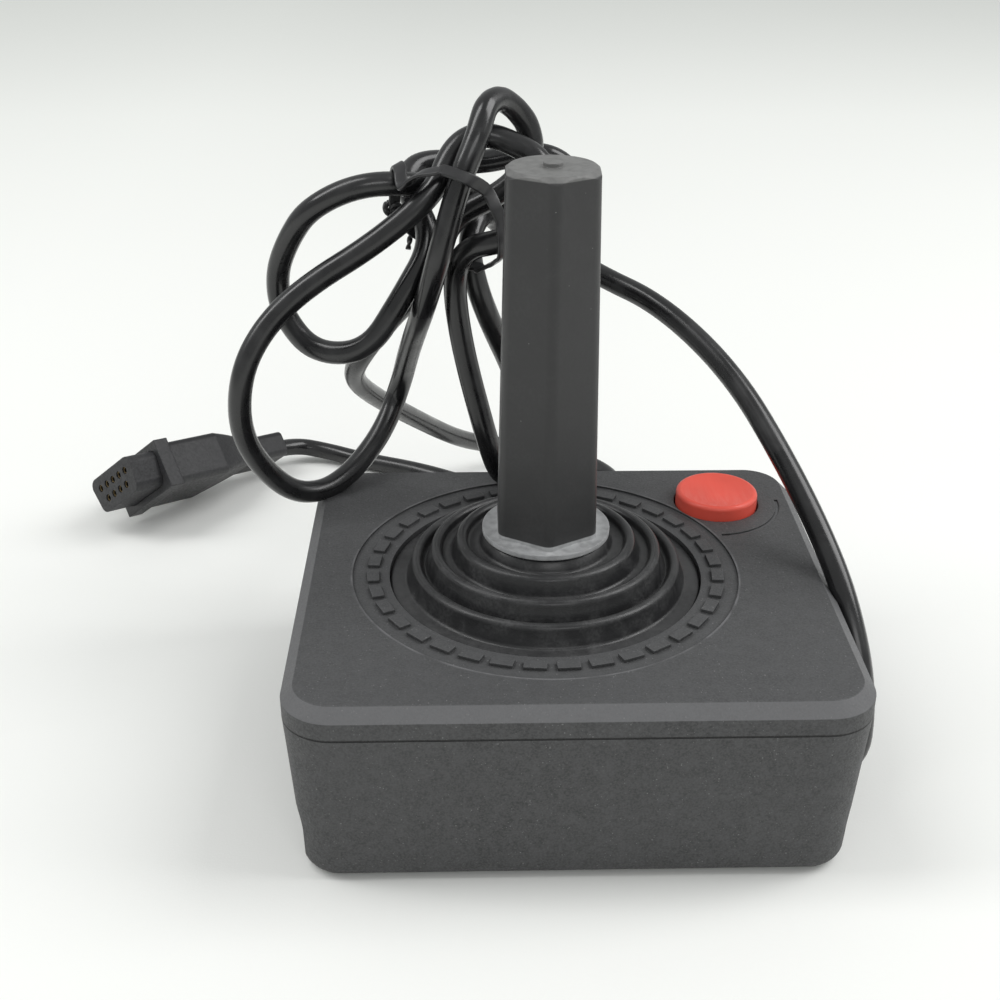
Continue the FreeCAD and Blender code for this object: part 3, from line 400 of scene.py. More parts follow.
@dataclass(frozen=True)
class HousingPlastic(TexturedPlastic):
    """The housing's plastic, with a painted highlight on its bevel and on its ring's edge, and painted shade
    in the line between the shells.
    """

    seam_height: float = 28.4
    seam_half_width: float = 0.2
    bevel: tuple[float, float] = (31.45, 33.3)
    ring_centre: tuple[float, float] = (-3.45, 1.13)
    ring_radius: float = 32.8
    bevel_highlight_from: float = 35.5

    def marks(self, surface: Surface, colour: bpy.types.NodeSocket,
              layers: list[tuple[bpy.types.NodeSocket, float]]) -> bpy.types.NodeSocket:
        """Paint highlights on the bevel and the ring's edge, and open the line between the shells with painted
        shade and a groove.

        Args:
            surface: The material under construction.
            colour: Its colour so far.
            layers: Its relief so far, which the line is added to.

        Returns:
            The colour.
        """
        # Painted highlight: the bevel band outside the ring is lightened.
        pale_mask = surface.both(surface.height(*self.bevel, 0.06),
                              surface.outside_circle(self.ring_centre, self.bevel_highlight_from, 0.5))
        colour = surface.tint(surface.ramp(pale_mask, 0, 1, 0, 0.62), colour, self.wear_and_highlight)
        # Painted highlight: a pale line on the ring's edge where it faces up, in patches.
        ring_out = surface.outside_circle(self.ring_centre, self.ring_radius - 0.25, 0.12)
        ring_in = surface.outside_circle(self.ring_centre, self.ring_radius + 0.2, 0.25)
        edge = surface.both(surface.both(ring_out, ring_in, "SUBTRACT"), surface.upward(0.2, 0.6))
        patches = surface.ramp(surface.noise(5, 3), 0.4, 0.62, 0.1, 0.85)
        colour = surface.tint(surface.both(edge, patches), colour, self.wear_and_highlight)
        # Painted shade: the gap between the shells is darkened and pressed in.
        line = surface.parting_line(self.seam_height, self.seam_half_width)
        layers.append((surface.ramp(line, 0, 1, 1, 0), 0.3))
        return surface.tint(surface.ramp(line, 0, 1, 0, 0.93), colour, self.shade)


@dataclass(frozen=True)
class PlugPlastic(TexturedPlastic):
    """The plug's plastic, grey, with painted shade that darkens what looks up, in patches."""

    # The painted shade's colour on faces that look up.
    top: Colour = (0.008, 0.008, 0.0095)

    def marks(self, surface: Surface, colour: bpy.types.NodeSocket,
              layers: list[tuple[bpy.types.NodeSocket, float]]) -> bpy.types.NodeSocket:
        """Darken what looks up, as painted shade.

        Args:
            surface: The material under construction.
            colour: Its colour so far.
            layers: Its relief so far. Not used here.

        Returns:
            The colour.
        """
        # Painted shade: faces that look up are darkened, in patches.
        shaded_top = surface.both(surface.upward(0.3, 0.8),
                               surface.ramp(surface.noise(3, 3), 0.25, 0.6, 0.8, 1))
        return surface.tint(surface.ramp(shaded_top, 0, 1, 0, 0.9), colour, self.top)


@dataclass(frozen=True)
class SoftRubber:
    """Black rubber with a soft shine, a film of dust in patches and lint on it."""

    name: str
    colour: Colour = (0.0125, 0.0125, 0.0135)
    dust: Colour = (0.075, 0.075, 0.076)
    lint: Colour = (0.2, 0.2, 0.19)
    roughness: float = 0.43
    grain: float = 0.45
    depth: float = 0.012
    dusty: float = 0.4
    settled: float = 0.25
    pale_bands: tuple[tuple[float, float, Colour], ...] = ()

    def material(self) -> bpy.types.Material:
        """Make the material."""
        surface = Surface(self.name, self.colour, self.roughness, specular=0.45)
        film = surface.ramp(surface.noise(5, 5, distortion=0.6), 0.42, 0.72, 0.04, self.dusty)
        powder = surface.both(film, surface.ramp(surface.noise(0.5, 2), 0.35, 0.65, 0.3, 1))
        colour = surface.tint(powder, self.colour, self.dust)
        # Pale edges: edge wear together with a painted edge highlight, toward the dust colour.
        edge_wear_and_highlight = surface.both(surface.softened_edges(0.3),
                            surface.ramp(surface.noise(1.8, 3), 0.35, 0.6, 0.1, 0.5))
        colour = surface.tint(edge_wear_and_highlight, colour, self.dust)
        resting = surface.both(surface.upward(), surface.ramp(surface.noise(1.2, 3), 0.3, 0.65, 0.4, 1))
        colour = surface.tint(surface.ramp(resting, 0, 1, 0, self.settled), colour, self.dust)
        # Pale bands at set heights: painted highlight on the collar, dust and wear on the cap.
        for low, high, pale in self.pale_bands:
            pale_mask = surface.both(surface.height(low, high, 0.15),
                                  surface.ramp(surface.noise(1.5, 4), 0.25, 0.6, 0.6, 1))
            colour = surface.tint(surface.ramp(pale_mask, 0, 1, 0, 0.95), colour, pale)
        lint = surface.both(surface.specks(2.1, 0.1), surface.ramp(surface.noise(4, 1), 0.5, 0.6, 0, 0.9))
        surface.colour(surface.tint(lint, colour, self.lint))
        surface.roughness(surface.ramp(powder, 0, 0.4, self.roughness - 0.04, self.roughness + 0.2))
        surface.relief((surface.noise(self.grain, 3), self.depth), (surface.noise(2.6, 2), 2 * self.depth))
        return surface.material


@dataclass(frozen=True)
class GlossVinyl:
    """Extruded vinyl: smooth and glossy, with faint draw lines, handling marks and dust."""

    name: str
    colour: Colour = (0.0065, 0.0065, 0.0072)
    dust: Colour = (0.055, 0.055, 0.056)
    roughness: float = 0.24

    def material(self) -> bpy.types.Material:
        """Make the material."""
        surface = Surface(self.name, self.colour, self.roughness, specular=0.5)
        smears = surface.noise(7, 4, distortion=0.8)
        colour = surface.tint(surface.ramp(smears, 0.45, 0.75, 0, 0.28), self.colour, self.dust)
        dots = surface.both(surface.specks(2.6, 0.1), surface.ramp(surface.noise(5, 1), 0.5, 0.62, 0, 0.7))
        surface.colour(surface.tint(dots, colour, self.dust))
        surface.roughness(surface.ramp(smears, 0.3, 0.75, self.roughness - 0.05, self.roughness + 0.16))
        surface.relief((surface.noise(1.3, 2), 0.012), (surface.noise(9, 1), 0.12))
        surface.shader.inputs["Coat Weight"].default_value = 0.25
        surface.shader.inputs["Coat Roughness"].default_value = 0.12
        return surface.material


@dataclass(frozen=True)
class GlossPlastic:
    """Hard gloss plastic: an even colour with slight waves, fine scratches and a softened edge."""

    name: str
    colour: Colour
    wear_and_highlight: Colour
    roughness: float = 0.3
    specular: float = 0.45
    scratches: float = 0.25

    def material(self) -> bpy.types.Material:
        """Make the material."""
        surface = Surface(self.name, self.colour, self.roughness, specular=self.specular)
        edge_wear_and_highlight = surface.softened_edges(0.25)
        deeper = tuple(0.86 * part for part in self.colour)
        colour = surface.tint(surface.ramp(surface.noise(6, 2), 0.35, 0.7, 0, 0.5), self.colour, deeper)
        scuffs = surface.noise(0.9, 4, place=surface.stretched((1, 0.16, 1)), distortion=0.4)
        marks = surface.ramp(scuffs, 0.6, 0.72, 0, self.scratches)
        colour = surface.tint(marks, colour, self.wear_and_highlight)
        # Pale edges: edge wear together with a painted edge highlight.
        surface.colour(surface.tint(surface.ramp(edge_wear_and_highlight, 0, 1, 0, 0.35), colour, self.wear_and_highlight))
        surface.roughness(surface.ramp(scuffs, 0.35, 0.7, self.roughness - 0.05, self.roughness + 0.2))
        surface.relief((surface.noise(0.4, 2), 0.004))
        return surface.material


@dataclass(frozen=True)
class PlatedMetal:
    """Stamped or turned metal with rolling lines, stains and bright edges."""

    name: str
    colour: Colour
    stain: Colour
    roughness: float = 0.3

    def material(self) -> bpy.types.Material:
        """Make the material."""
        surface = Surface(self.name, self.colour, self.roughness, metallic=1.0)
        lines = surface.noise(0.5, 3, place=surface.stretched((1, 0.08, 1)))
        stains = surface.ramp(surface.noise(1.6, 4), 0.5, 0.75, 0, 0.7)
        edge_wear_and_highlight = surface.softened_edges(0.15)
        colour = surface.tint(stains, self.colour, self.stain)
        # Bright edges: edge wear together with a painted edge highlight.
        surface.colour(surface.tint(edge_wear_and_highlight, colour, tuple(min(1.0, 1.15 * part) for part in self.colour)))
        surface.roughness(surface.ramp(lines, 0.3, 0.7, self.roughness - 0.08, self.roughness + 0.14))
        surface.relief((lines, 0.006))
        return surface.material


@dataclass(frozen=True)
class Laminate:
    """Brown paper laminate with copper tracks under a clear varnish."""

    name: str
    colour: Colour = (0.24, 0.13, 0.045)
    track: Colour = (0.34, 0.17, 0.06)
    fibre: Colour = (0.16, 0.08, 0.03)

    def material(self) -> bpy.types.Material:
        """Make the material."""
        surface = Surface(self.name, self.colour, 0.38)
        weave = surface.noise(0.6, 3, place=surface.stretched((1, 0.2, 1)))
        colour = surface.tint(surface.ramp(weave, 0.35, 0.65, 0, 0.8), self.colour, self.fibre)
        runs = surface.add("TexWave", wave_type="BANDS", bands_direction="X", wave_profile="SIN")
        runs.inputs["Scale"].default_value = 62
        runs.inputs["Distortion"].default_value = 5.5
        runs.inputs["Detail Scale"].default_value = 0.6
        surface.join(surface.place, runs.inputs["Vector"])
        tracks = surface.ramp(runs.outputs["Fac"], 0.7, 0.76, 0, 1)
        surface.colour(surface.tint(tracks, colour, self.track))
        surface.roughness(surface.ramp(surface.noise(4, 3), 0.3, 0.7, 0.28, 0.5))
        surface.relief((tracks, 0.04), (weave, 0.01))
        return surface.material


class Palette:
    """The finishes of this controller, made once each."""

    def __init__(self) -> None:
        """Make every material."""
        white = (0.62, 0.61, 0.56)
        self.case = HousingPlastic("case plastic", (0.060, 0.0605, 0.062), edge=0.22).material()
        # The grip's pale bands: a painted highlight on the collar, dust and wear on the cap.
        collar, cap = (40.9, 42.45, (0.4, 0.405, 0.41)), (101.9, 103.2, (0.17, 0.17, 0.166))
        self.grip = SoftRubber("grip rubber", colour=(0.028, 0.028, 0.0285), dusty=0.22, grain=0.6,
                               pale_bands=(collar, cap)).material()
        self.boot = SoftRubber("boot rubber", colour=(0.0165, 0.0165, 0.0175), dusty=0.6, roughness=0.33,
                               settled=0.3).material()
        self.button = GlossPlastic("button plastic", (0.80, 0.098, 0.066), (0.86, 0.22, 0.17),
                                   roughness=0.34, scratches=0.1).material()
        self.jacket = GlossVinyl("cord jacket").material()
        self.tie = GlossVinyl("tie plastic", colour=(0.012, 0.012, 0.013), roughness=0.4).material()
        self.plug = PlugPlastic("plug plastic", (0.034, 0.034, 0.036), fleck=(0.07, 0.07, 0.07),
                                    wear_and_highlight=(0.085, 0.085, 0.088), roughness=0.42, grain=0.6, depth=0.02,
                                    edge=0.4).material()
        self.nose = TexturedPlastic("plug insulator", (0.026, 0.026, 0.028), fleck=(0.07, 0.07, 0.07),
                                    wear_and_highlight=(0.07, 0.07, 0.072), roughness=0.5, grain=0.5, depth=0.015,
                                    edge=0.3).material()
        self.relief = SoftRubber("grommet rubber", dusty=0.2).material()
        self.nylon = GlossPlastic("inner nylon", white, (0.7, 0.69, 0.64), roughness=0.42).material()
        self.ball = GlossPlastic("ball acetal", (0.7, 0.69, 0.66), (0.75, 0.74, 0.7),
                                 roughness=0.25).material()
        self.header = GlossPlastic("header nylon", (0.66, 0.64, 0.55), (0.7, 0.69, 0.64),
                                   roughness=0.45).material()
        self.board = Laminate("board laminate").material()
        self.spring = PlatedMetal("dome steel", (0.62, 0.62, 0.6), (0.4, 0.37, 0.33), 0.26).material()
        self.screw = PlatedMetal("screw steel", (0.5, 0.5, 0.5), (0.26, 0.22, 0.18), 0.36).material()
        self.contact = PlatedMetal("contact brass", (0.2, 0.15, 0.08), (0.06, 0.05, 0.035), 0.42).material()
        self.wires = [
            GlossPlastic(f"wire {name}", colour, tuple(0.6 * part + 0.2 for part in colour),
                         roughness=0.38).material()
            for name, colour in (
                ("white", (0.6, 0.6, 0.58)), ("blue", (0.03, 0.07, 0.42)), ("green", (0.03, 0.26, 0.07)),
                ("brown", (0.12, 0.045, 0.02)), ("orange", (0.62, 0.2, 0.03)),
            )
        ]


# ---------------------------------------------------------------- making and dressing


def dress_node(node: str, material: bpy.types.Material) -> None:
    """Give a carried-over solid its material.

    Args:
        node: The solid's name in the frame.
        material: Its finish.
    """
    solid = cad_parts[node]
    solid.data.materials.clear()
    solid.data.materials.append(material)
    LOG.info("dressed %s with %s", node, material.name)


def piece_from(name: str, vertices: Iterable[Sequence[float]], faces: Iterable[Sequence[int]],
               material: bpy.types.Material, crease: float = 40.0) -> bpy.types.Object:
    """Make a mesh piece at the origin from points in millimetres.

    Args:
        name: The piece's name.
        vertices: Its points.
        faces: Its faces, as indices of the points.
        material: Its finish.
        crease: Edges that turn by more than this many degrees stay sharp.

    Returns:
        The new object.
    """
    mesh = bpy.data.meshes.new(name)
    mesh.from_pydata([tuple(part * MM for part in vertex) for vertex in vertices], [], list(faces))
    shape = bmesh.new()
    shape.from_mesh(mesh)
    bmesh.ops.recalc_face_normals(shape, faces=shape.faces)
    shape.to_mesh(mesh)
    shape.free()
    mesh.shade_smooth()
    mesh.set_sharp_from_angle(angle=math.radians(crease))
    mesh.materials.append(material)
    piece = bpy.data.objects.new(name, mesh)
    bpy.context.scene.collection.objects.link(piece)
    return piece


def finish_piece(piece: bpy.types.Object, replaced: Sequence[str] = ()) -> None:
    """Hide the nodes a piece stands for, and report it.

    Args:
        piece: The piece.
        replaced: The nodes it replaces.
    """
    if replaced:
        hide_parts(*replaced)
    LOG.info("made %s", piece.name)


def bead(radius: float, height: float, roundness: float, steps: int = 12) -> Profile:
    """The round top of a pleat, from its outer side over the crest to its inner side.

    Args:
        radius: Its outer radius.
        height: The crest's height.
        roundness: Half its width.
        steps: Its segments.

    Returns:
        Radius and height of each point.
    """
    points = []
    for step in range(steps + 1):
        angle = math.pi * step / steps
        points.append((radius - roundness + roundness * math.cos(angle),
                       height - roundness + roundness * math.sin(angle)))
    return points


def turned_mesh(profile: Profile, centre: tuple[float, float], segments: int = 144
                ) -> tuple[list[Point], list[list[int]]]:
    """Turn a closed profile about an upright axis.

    Args:
        profile: Radius and height of each point, which joins up with itself.
        centre: Where the axis stands.
        segments: Steps round the axis.

    Returns:
        The points and the faces.
    """
    count = len(profile)
    vertices = [
        (centre[0] + radius * math.cos(2 * math.pi * turn / segments),
         centre[1] + radius * math.sin(2 * math.pi * turn / segments), height)
        for turn in range(segments) for radius, height in profile
    ]
    faces = [
        [turn * count + at, turn * count + (at + 1) % count,
         (turn + 1) % segments * count + (at + 1) % count, (turn + 1) % segments * count + at]
        for turn in range(segments) for at in range(count)
    ]
    return vertices, faces


def lofted_mesh(sections: Sequence[Sequence[Point]], closed: bool = False
                ) -> tuple[list[Point], list[list[int]]]:
    """Skin sections that have the same number of points.

    Args:
        sections: The sections in order, each a closed ring.
        closed: Whether the last section joins the first one. Otherwise both ends are capped.

    Returns:
        The points and the faces.
    """
    count = len(sections[0])
    vertices = [tuple(point) for section in sections for point in section]
    spans = len(sections) if closed else len(sections) - 1
    faces = [
        [step * count + at, step * count + (at + 1) % count,
         (step + 1) % len(sections) * count + (at + 1) % count, (step + 1) % len(sections) * count + at]
        for step in range(spans) for at in range(count)
    ]
    if not closed:
        faces += [list(range(count))[::-1], [(len(sections) - 1) * count + at for at in range(count)]]
    return vertices, faces


def rounded_ring(width: float, height: float, radius: float, steps: int = 6) -> Profile:
    """A rectangle about the origin with round corners.

    Args:
        width: Its size across.
        height: Its size upwards.
        radius: The corners' radius.
        steps: Segments of a corner.

    Returns:
        Its points, all the way round.
    """
    ring: Profile = []
    x, y = width / 2 - radius, height / 2 - radius
    for quarter, (side, lift) in enumerate(((1, 1), (-1, 1), (-1, -1), (1, -1))):
        for step in range(steps + 1):
            angle = math.radians(90 * quarter + 90 * step / steps)
            ring.append((side * x + radius * math.cos(angle), lift * y + radius * math.sin(angle)))
    return ring


# ---------------------------------------------------------------- studio


@dataclass
class Studio:
    """The photograph's camera, the pale floor and the soft lamps."""

    camera_place: Point = (-16.257, -205.071, 155.002)
    camera_yaw: float = 0.02461
    camera_pitch: float = 0.48390
    camera_roll: float = 0.00302
    lens: float = 50.31
    floor_reach: float = 2.6
    floor_colour: Colour = (0.885, 0.89, 0.868)
    floor_far_colour: Colour = (0.84, 0.855, 0.825)
    sky: float = 0.5

    def build(self) -> None:
        """Make the camera, the floor and the lamps."""
        scene = bpy.context.scene
        scene.view_settings.view_transform = "Standard"
        self.make_camera()
        self.make_floor()
        self.make_sky()
        self.make_lamp("key lamp", (0.54, 0.02, 0.62), (0.42, 0.62), 3.5)
        self.make_lamp("left lamp", (-0.46, 0.0, 0.62), (0.2, 0.7), 2.2)
        self.make_lamp("front lamp", (0.12, -0.75, 0.55), (0.5, 0.2), 1.0)
        LOG.info("studio ready")

    def make_camera(self) -> None:
        """Stand the camera where the photograph was taken."""
        data = bpy.data.cameras.new("camera")
        data.lens = self.lens
        data.sensor_width = 36
        data.dof.use_dof = False
        data.clip_start = 0.01
        camera = bpy.data.objects.new("camera", data)
        bpy.context.scene.collection.objects.link(camera)
        ahead = Vector((
            math.sin(self.camera_yaw) * math.cos(self.camera_pitch),
            math.cos(self.camera_yaw) * math.cos(self.camera_pitch),
            -math.sin(self.camera_pitch),
        ))
        level = Vector((math.cos(self.camera_yaw), -math.sin(self.camera_yaw), 0))
        upright = level.cross(ahead)
        cosine, sine = math.cos(self.camera_roll), math.sin(self.camera_roll)
        right = level * cosine + upright * sine
        up = upright * cosine - level * sine
        turn = Matrix((right, up, -ahead)).transposed()
        camera.matrix_world = Matrix.Translation(Vector(self.camera_place) * MM) @ turn.to_4x4()
        bpy.context.scene.camera = camera

    def make_floor(self) -> None:
        """Lay the paper floor, with painted shade that makes it a little darker far behind the controller."""
        reach = self.floor_reach
        surface = Surface("paper floor", self.floor_colour, 0.85, specular=0.1)
        split = surface.add("SeparateXYZ")
        surface.join(surface.place, split.inputs["Vector"])
        far = surface.ramp(split.outputs["Y"], 0.16, 1.0, 0, 1)
        clouds = surface.ramp(surface.noise(260, 2), 0.3, 0.7, 0, 0.14)
        # Painted shade: the paper turns darker far behind the controller.
        colour = surface.tint(far, self.floor_colour, self.floor_far_colour)
        surface.colour(surface.tint(clouds, colour, (0.8, 0.81, 0.78)))
        surface.relief((surface.noise(0.5, 3), 0.02))
        self.brighten(surface, split)
        steps = 24
        vertices = [
            ((column / steps * 2 - 1) * reach * 1000, (row / steps * 2 - 1) * reach * 1000, 0)
            for row in range(steps + 1) for column in range(steps + 1)
        ]
        faces = [
            [row * (steps + 1) + column, row * (steps + 1) + column + 1,
             (row + 1) * (steps + 1) + column + 1, (row + 1) * (steps + 1) + column]
            for row in range(steps) for column in range(steps)
        ]
        floor = piece_from("floor", vertices, faces, surface.material)
        floor.location.z = -0.00005

    def brighten(self, surface: Surface, place: bpy.types.Node) -> None:
        """Paint light on the paper far back and to the left, where the lamps reach it less: a glow seen by
        camera, glossy and transmission rays.

        Args:
            surface: The paper's material.
            place: The node that splits the place on the paper into its axes.
        """
        behind = surface.ramp(place.outputs["Y"], 0.12, 0.5, 0, 0.12)
        left = surface.ramp(place.outputs["X"], -0.05, -0.16, 0, 0.035)
        glow = surface.both(behind, left, "ADD")
        path = surface.add("LightPath")
        seen = surface.both(path.outputs["Is Camera Ray"], path.outputs["Is Glossy Ray"], "MAXIMUM")
        seen = surface.both(seen, path.outputs["Is Transmission Ray"], "MAXIMUM")
        surface.shader.inputs["Emission Color"].default_value = (0.97, 1.0, 0.95, 1)
        surface.join(surface.both(glow, seen), surface.shader.inputs["Emission Strength"])

    def make_sky(self) -> None:
        """Fill the room with even pale light."""
        world = bpy.data.worlds.new("room")
        world.use_nodes = True
        background = world.node_tree.nodes["Background"]
        background.inputs["Color"].default_value = (0.98, 1.0, 0.995, 1)
        background.inputs["Strength"].default_value = self.sky
        bpy.context.scene.world = world

    def make_lamp(self, name: str, place: Point, size: tuple[float, float], power: float) -> None:
        """Hang a soft lamp that faces the controller.

        Args:
            name: Its name.
            place: Where it hangs, in metres.
            size: Its width and height in metres.
            power: Its power in watts.
        """
        data = bpy.data.lights.new(name, "AREA")
        data.shape = "RECTANGLE"
        data.size, data.size_y = size
        data.energy = power
        lamp = bpy.data.objects.new(name, data)
        lamp.location = place
        aim = Vector((-0.01, 0.02, 0.03)) - Vector(place)
        lamp.rotation_euler = aim.to_track_quat("-Z", "Y").to_euler()
        bpy.context.scene.collection.objects.link(lamp)


# ---------------------------------------------------------------- cord and tie


LEAD = (
    (36.9, -22, 6.8), (47.4, -22, 6.8), (49.2, -16, 18.5), (47.3, -8.2, 29.7), (44.4, 0.5, 37.7),
    (39.2, 12.7, 47.2), (31.5, 27.8, 58), (19.9, 42, 66), (7.9, 50.9, 69.2),
)
ROUND_TO_UPPER_LEFT_LOOP = (
    (-3.1, 54.3, 75.6), (-11.2, 50.7, 83.7), (-16.5, 40.3, 89.2), (-22.8, 29.3, 92.1), (-33.4, 25.5, 93.6),
    (-43, 28.1, 88.7), (-47.6, 31.2, 81.7), (-50.1, 32.9, 75.1), (-49.5, 32.2, 68.2), (-43.7, 28.5, 62),
    (-34, 25.5, 63.5), (-28.1, 26, 72.6), (-21.6, 28.9, 83.3),
)
RIGHT_LOOP = (
    (-27.5, 34.9, 90.4), (-24.9, 40.7, 93.6), (-14, 44.3, 91.9), (-5.4, 45.7, 93.6), (0.3, 45.3, 92.7),
    (4, 45.9, 88), (3.5, 47.8, 81.9), (-0.3, 48.6, 78.2), (-4.5, 48.1, 77.1), (-8.3, 46.9, 78.2),
    (-11.1, 45.2, 81.5), (-12.6, 42, 83.8), (-14.3, 38.5, 83.8),
)
LONG_HANGING_LOOP = (
    (-15.8, 35.1, 81.7), (-15.7, 32.4, 77), (-13.2, 32.8, 68.2), (-6.8, 38.6, 52), (-4.7, 37.9, 40.9),
    (-6.3, 33.8, 36.6), (-8.7, 29.7, 36.4), (-10.9, 26.5, 39.2), (-13, 25.3, 46.2), (-17.6, 28.8, 63.9),
    (-18.9, 28.8, 76.8), (-16, 25.3, 82.5),
)
SMALL_FRONT_LOOP = (
    (-11.4, 22.8, 84.1), (-7.6, 22.6, 85.3), (-5, 23.2, 87.1), (-2.9, 24.4, 89.9), (-2.5, 25.9, 93.1),
    (-3.3, 27.2, 95.6), (-5, 28.6, 97.4), (-7.6, 30.1, 98.5), (-11.7, 31.3, 100), (-15.6, 30.6, 100.1),
    (-18.9, 28.5, 98), (-21.6, 24.1, 92.2),
)
LOWER_LEFT_LOOP = (
    (-31.5, 22.6, 84.2), (-43.9, 23, 76.4), (-51.2, 21.4, 69.8), (-55.5, 19.1, 62.2), (-56.7, 19.3, 51.5),
    (-53.7, 22.2, 42.3), (-48, 25.5, 35.1), (-40.7, 30.9, 34.4), (-33, 40, 40.6), (-29.3, 45.1, 49.2),
    (-27, 35.9, 60.2), (-23, 21.1, 75.2),
)
TOP_LOOP = (
    (-17.3, 22.1, 95.2), (-14.7, 24.1, 100.8), (-13.8, 25.9, 103.5), (-13.2, 27.5, 105.1),
    (-12.4, 29.1, 105.8),
    (-11.4, 30.6, 106.1), (-10.3, 32, 105.8), (-9.1, 33.2, 104.9), (-7.6, 34.3, 103.4), (-5.7, 34.9, 100.8),
    (-4.7, 34.6, 95.9), (-9.2, 33.4, 90), (-18.9, 33.4, 85.5), (-21.4, 32.2, 78.7),
)
TAIL = (
    (-23.2, 33.3, 72.7), (-28.5, 39.5, 67), (-36.5, 45, 55.5), (-39.5, 52, 47.8), (-36.5, 61, 40),
    (-28.5, 78, 27), (-19.5, 94, 14.5), (-11.5, 105.5, 7.2), (-1, 110, 4.2), (9, 107.5, 2.7),
    (18.5, 99, 2.1),
    (19, 85.5, 2.1), (8, 76, 2.1), (-5.5, 80.5, 2.1), (-14, 92, 2.1), (-28, 101.5, 2.1), (-42, 107.3, 2.1),
    (-52, 112, 2.7), (-60, 112.4, 4.2), (-64.66, 107.06, 5.38),
)


@dataclass
class Cord:
    """The glossy cord: from the grommet up to the tie, round the hank's loops, and down to the plug."""

    diameter: float = 4.1
    length: float = 0.98
    exit: Point = (0.0427, -0.022, 0.0068)
    route: tuple[tuple[Point, ...], ...] = (
        LEAD, ROUND_TO_UPPER_LEFT_LOOP, RIGHT_LOOP, LONG_HANGING_LOOP, SMALL_FRONT_LOOP, LOWER_LEFT_LOOP,
        TOP_LOOP, TAIL,
    )

    def build(self, palette: Palette) -> bpy.types.Object:
        """Make the cord as one smooth line.

        Args:
            palette: The finishes.

        Returns:
            The cord.
        """
        points = [point for stretch in self.route for point in stretch]
        curve = bpy.data.curves.new("cord", "CURVE")
        curve.dimensions = "3D"
        line = curve.splines.new("NURBS")
        line.points.add(len(points) - 1)
        for place, point in zip(line.points, points):
            place.co = (*(Vector(point) * MM), 1)
        line.order_u = 3
        line.use_endpoint_u = True
        line.resolution_u = 10
        curve.bevel_depth = self.diameter / 2 * MM
        curve.bevel_resolution = 6
        curve.use_fill_caps = True
        curve.materials.append(palette.jacket)
        cord = bpy.data.objects.new("cord", curve)
        bpy.context.scene.collection.objects.link(cord)
        finish_piece(cord, ("cord_lead", "cord_hank", "cord_tail"))
        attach(cord, Body.BASE.value)
        return cord


# The strap's middle line round the crossing strands, in millimetres.
TIE_ROUTE: tuple[Point, ...] = (
    (-22.9, 34.8, 80.4), (-23.7, 34.4, 81.2), (-24.4, 34, 81.9), (-25.2, 33.5, 82.6),
    (-25.9, 33.1, 83.3), (-26.7, 32.7, 84), (-27.4, 32.3, 84.8), (-28.1, 31.9, 85.6),
    (-28.5, 31.5, 86.5), (-28.7, 31.2, 87.6), (-28.7, 31, 88.8), (-28.6, 30.9, 89.9),
    (-28.6, 30.7, 91.1), (-28.5, 30.5, 92.3), (-28.5, 30.3, 93.4), (-28.3, 30, 94.5),
    (-28.1, 29.3, 95.3), (-27.8, 28.3, 95.8), (-27.5, 27.2, 95.8), (-27.3, 26, 95.3), (-27.2, 25, 94.5),
    (-27, 24, 93.7), (-26.7, 23.2, 93.5), (-26.1, 22.5, 94.1), (-25.2, 22.1, 95.1), (-23.6, 21.6, 96.1),
    (-21.1, 20.7, 96.7), (-19.7, 20.5, 96.8), (-15.7, 19.6, 95.5), (-12.9, 22, 93), (-11.6, 20.8, 90.7),
    (-10.6, 20.8, 88.2), (-10.3, 19.7, 85.3), (-10.4, 20.2, 82.7), (-11, 21.1, 81.8),
    (-11.6, 22.7, 80.6), (-12.4, 24.4, 79.7), (-13.2, 26.1, 78.7), (-14.1, 27.9, 77.7),
    (-14.8, 29.3, 77.8), (-18.9, 31.8, 76.8), (-18.7, 33.1, 75.8), (-19, 34.3, 76.3),
    (-19.4, 35.1, 76.9), (-20, 35.5, 77.6), (-20.7, 35.7, 78.3), (-21.4, 35.5, 79), (-22.2, 35.2, 79.7),
)


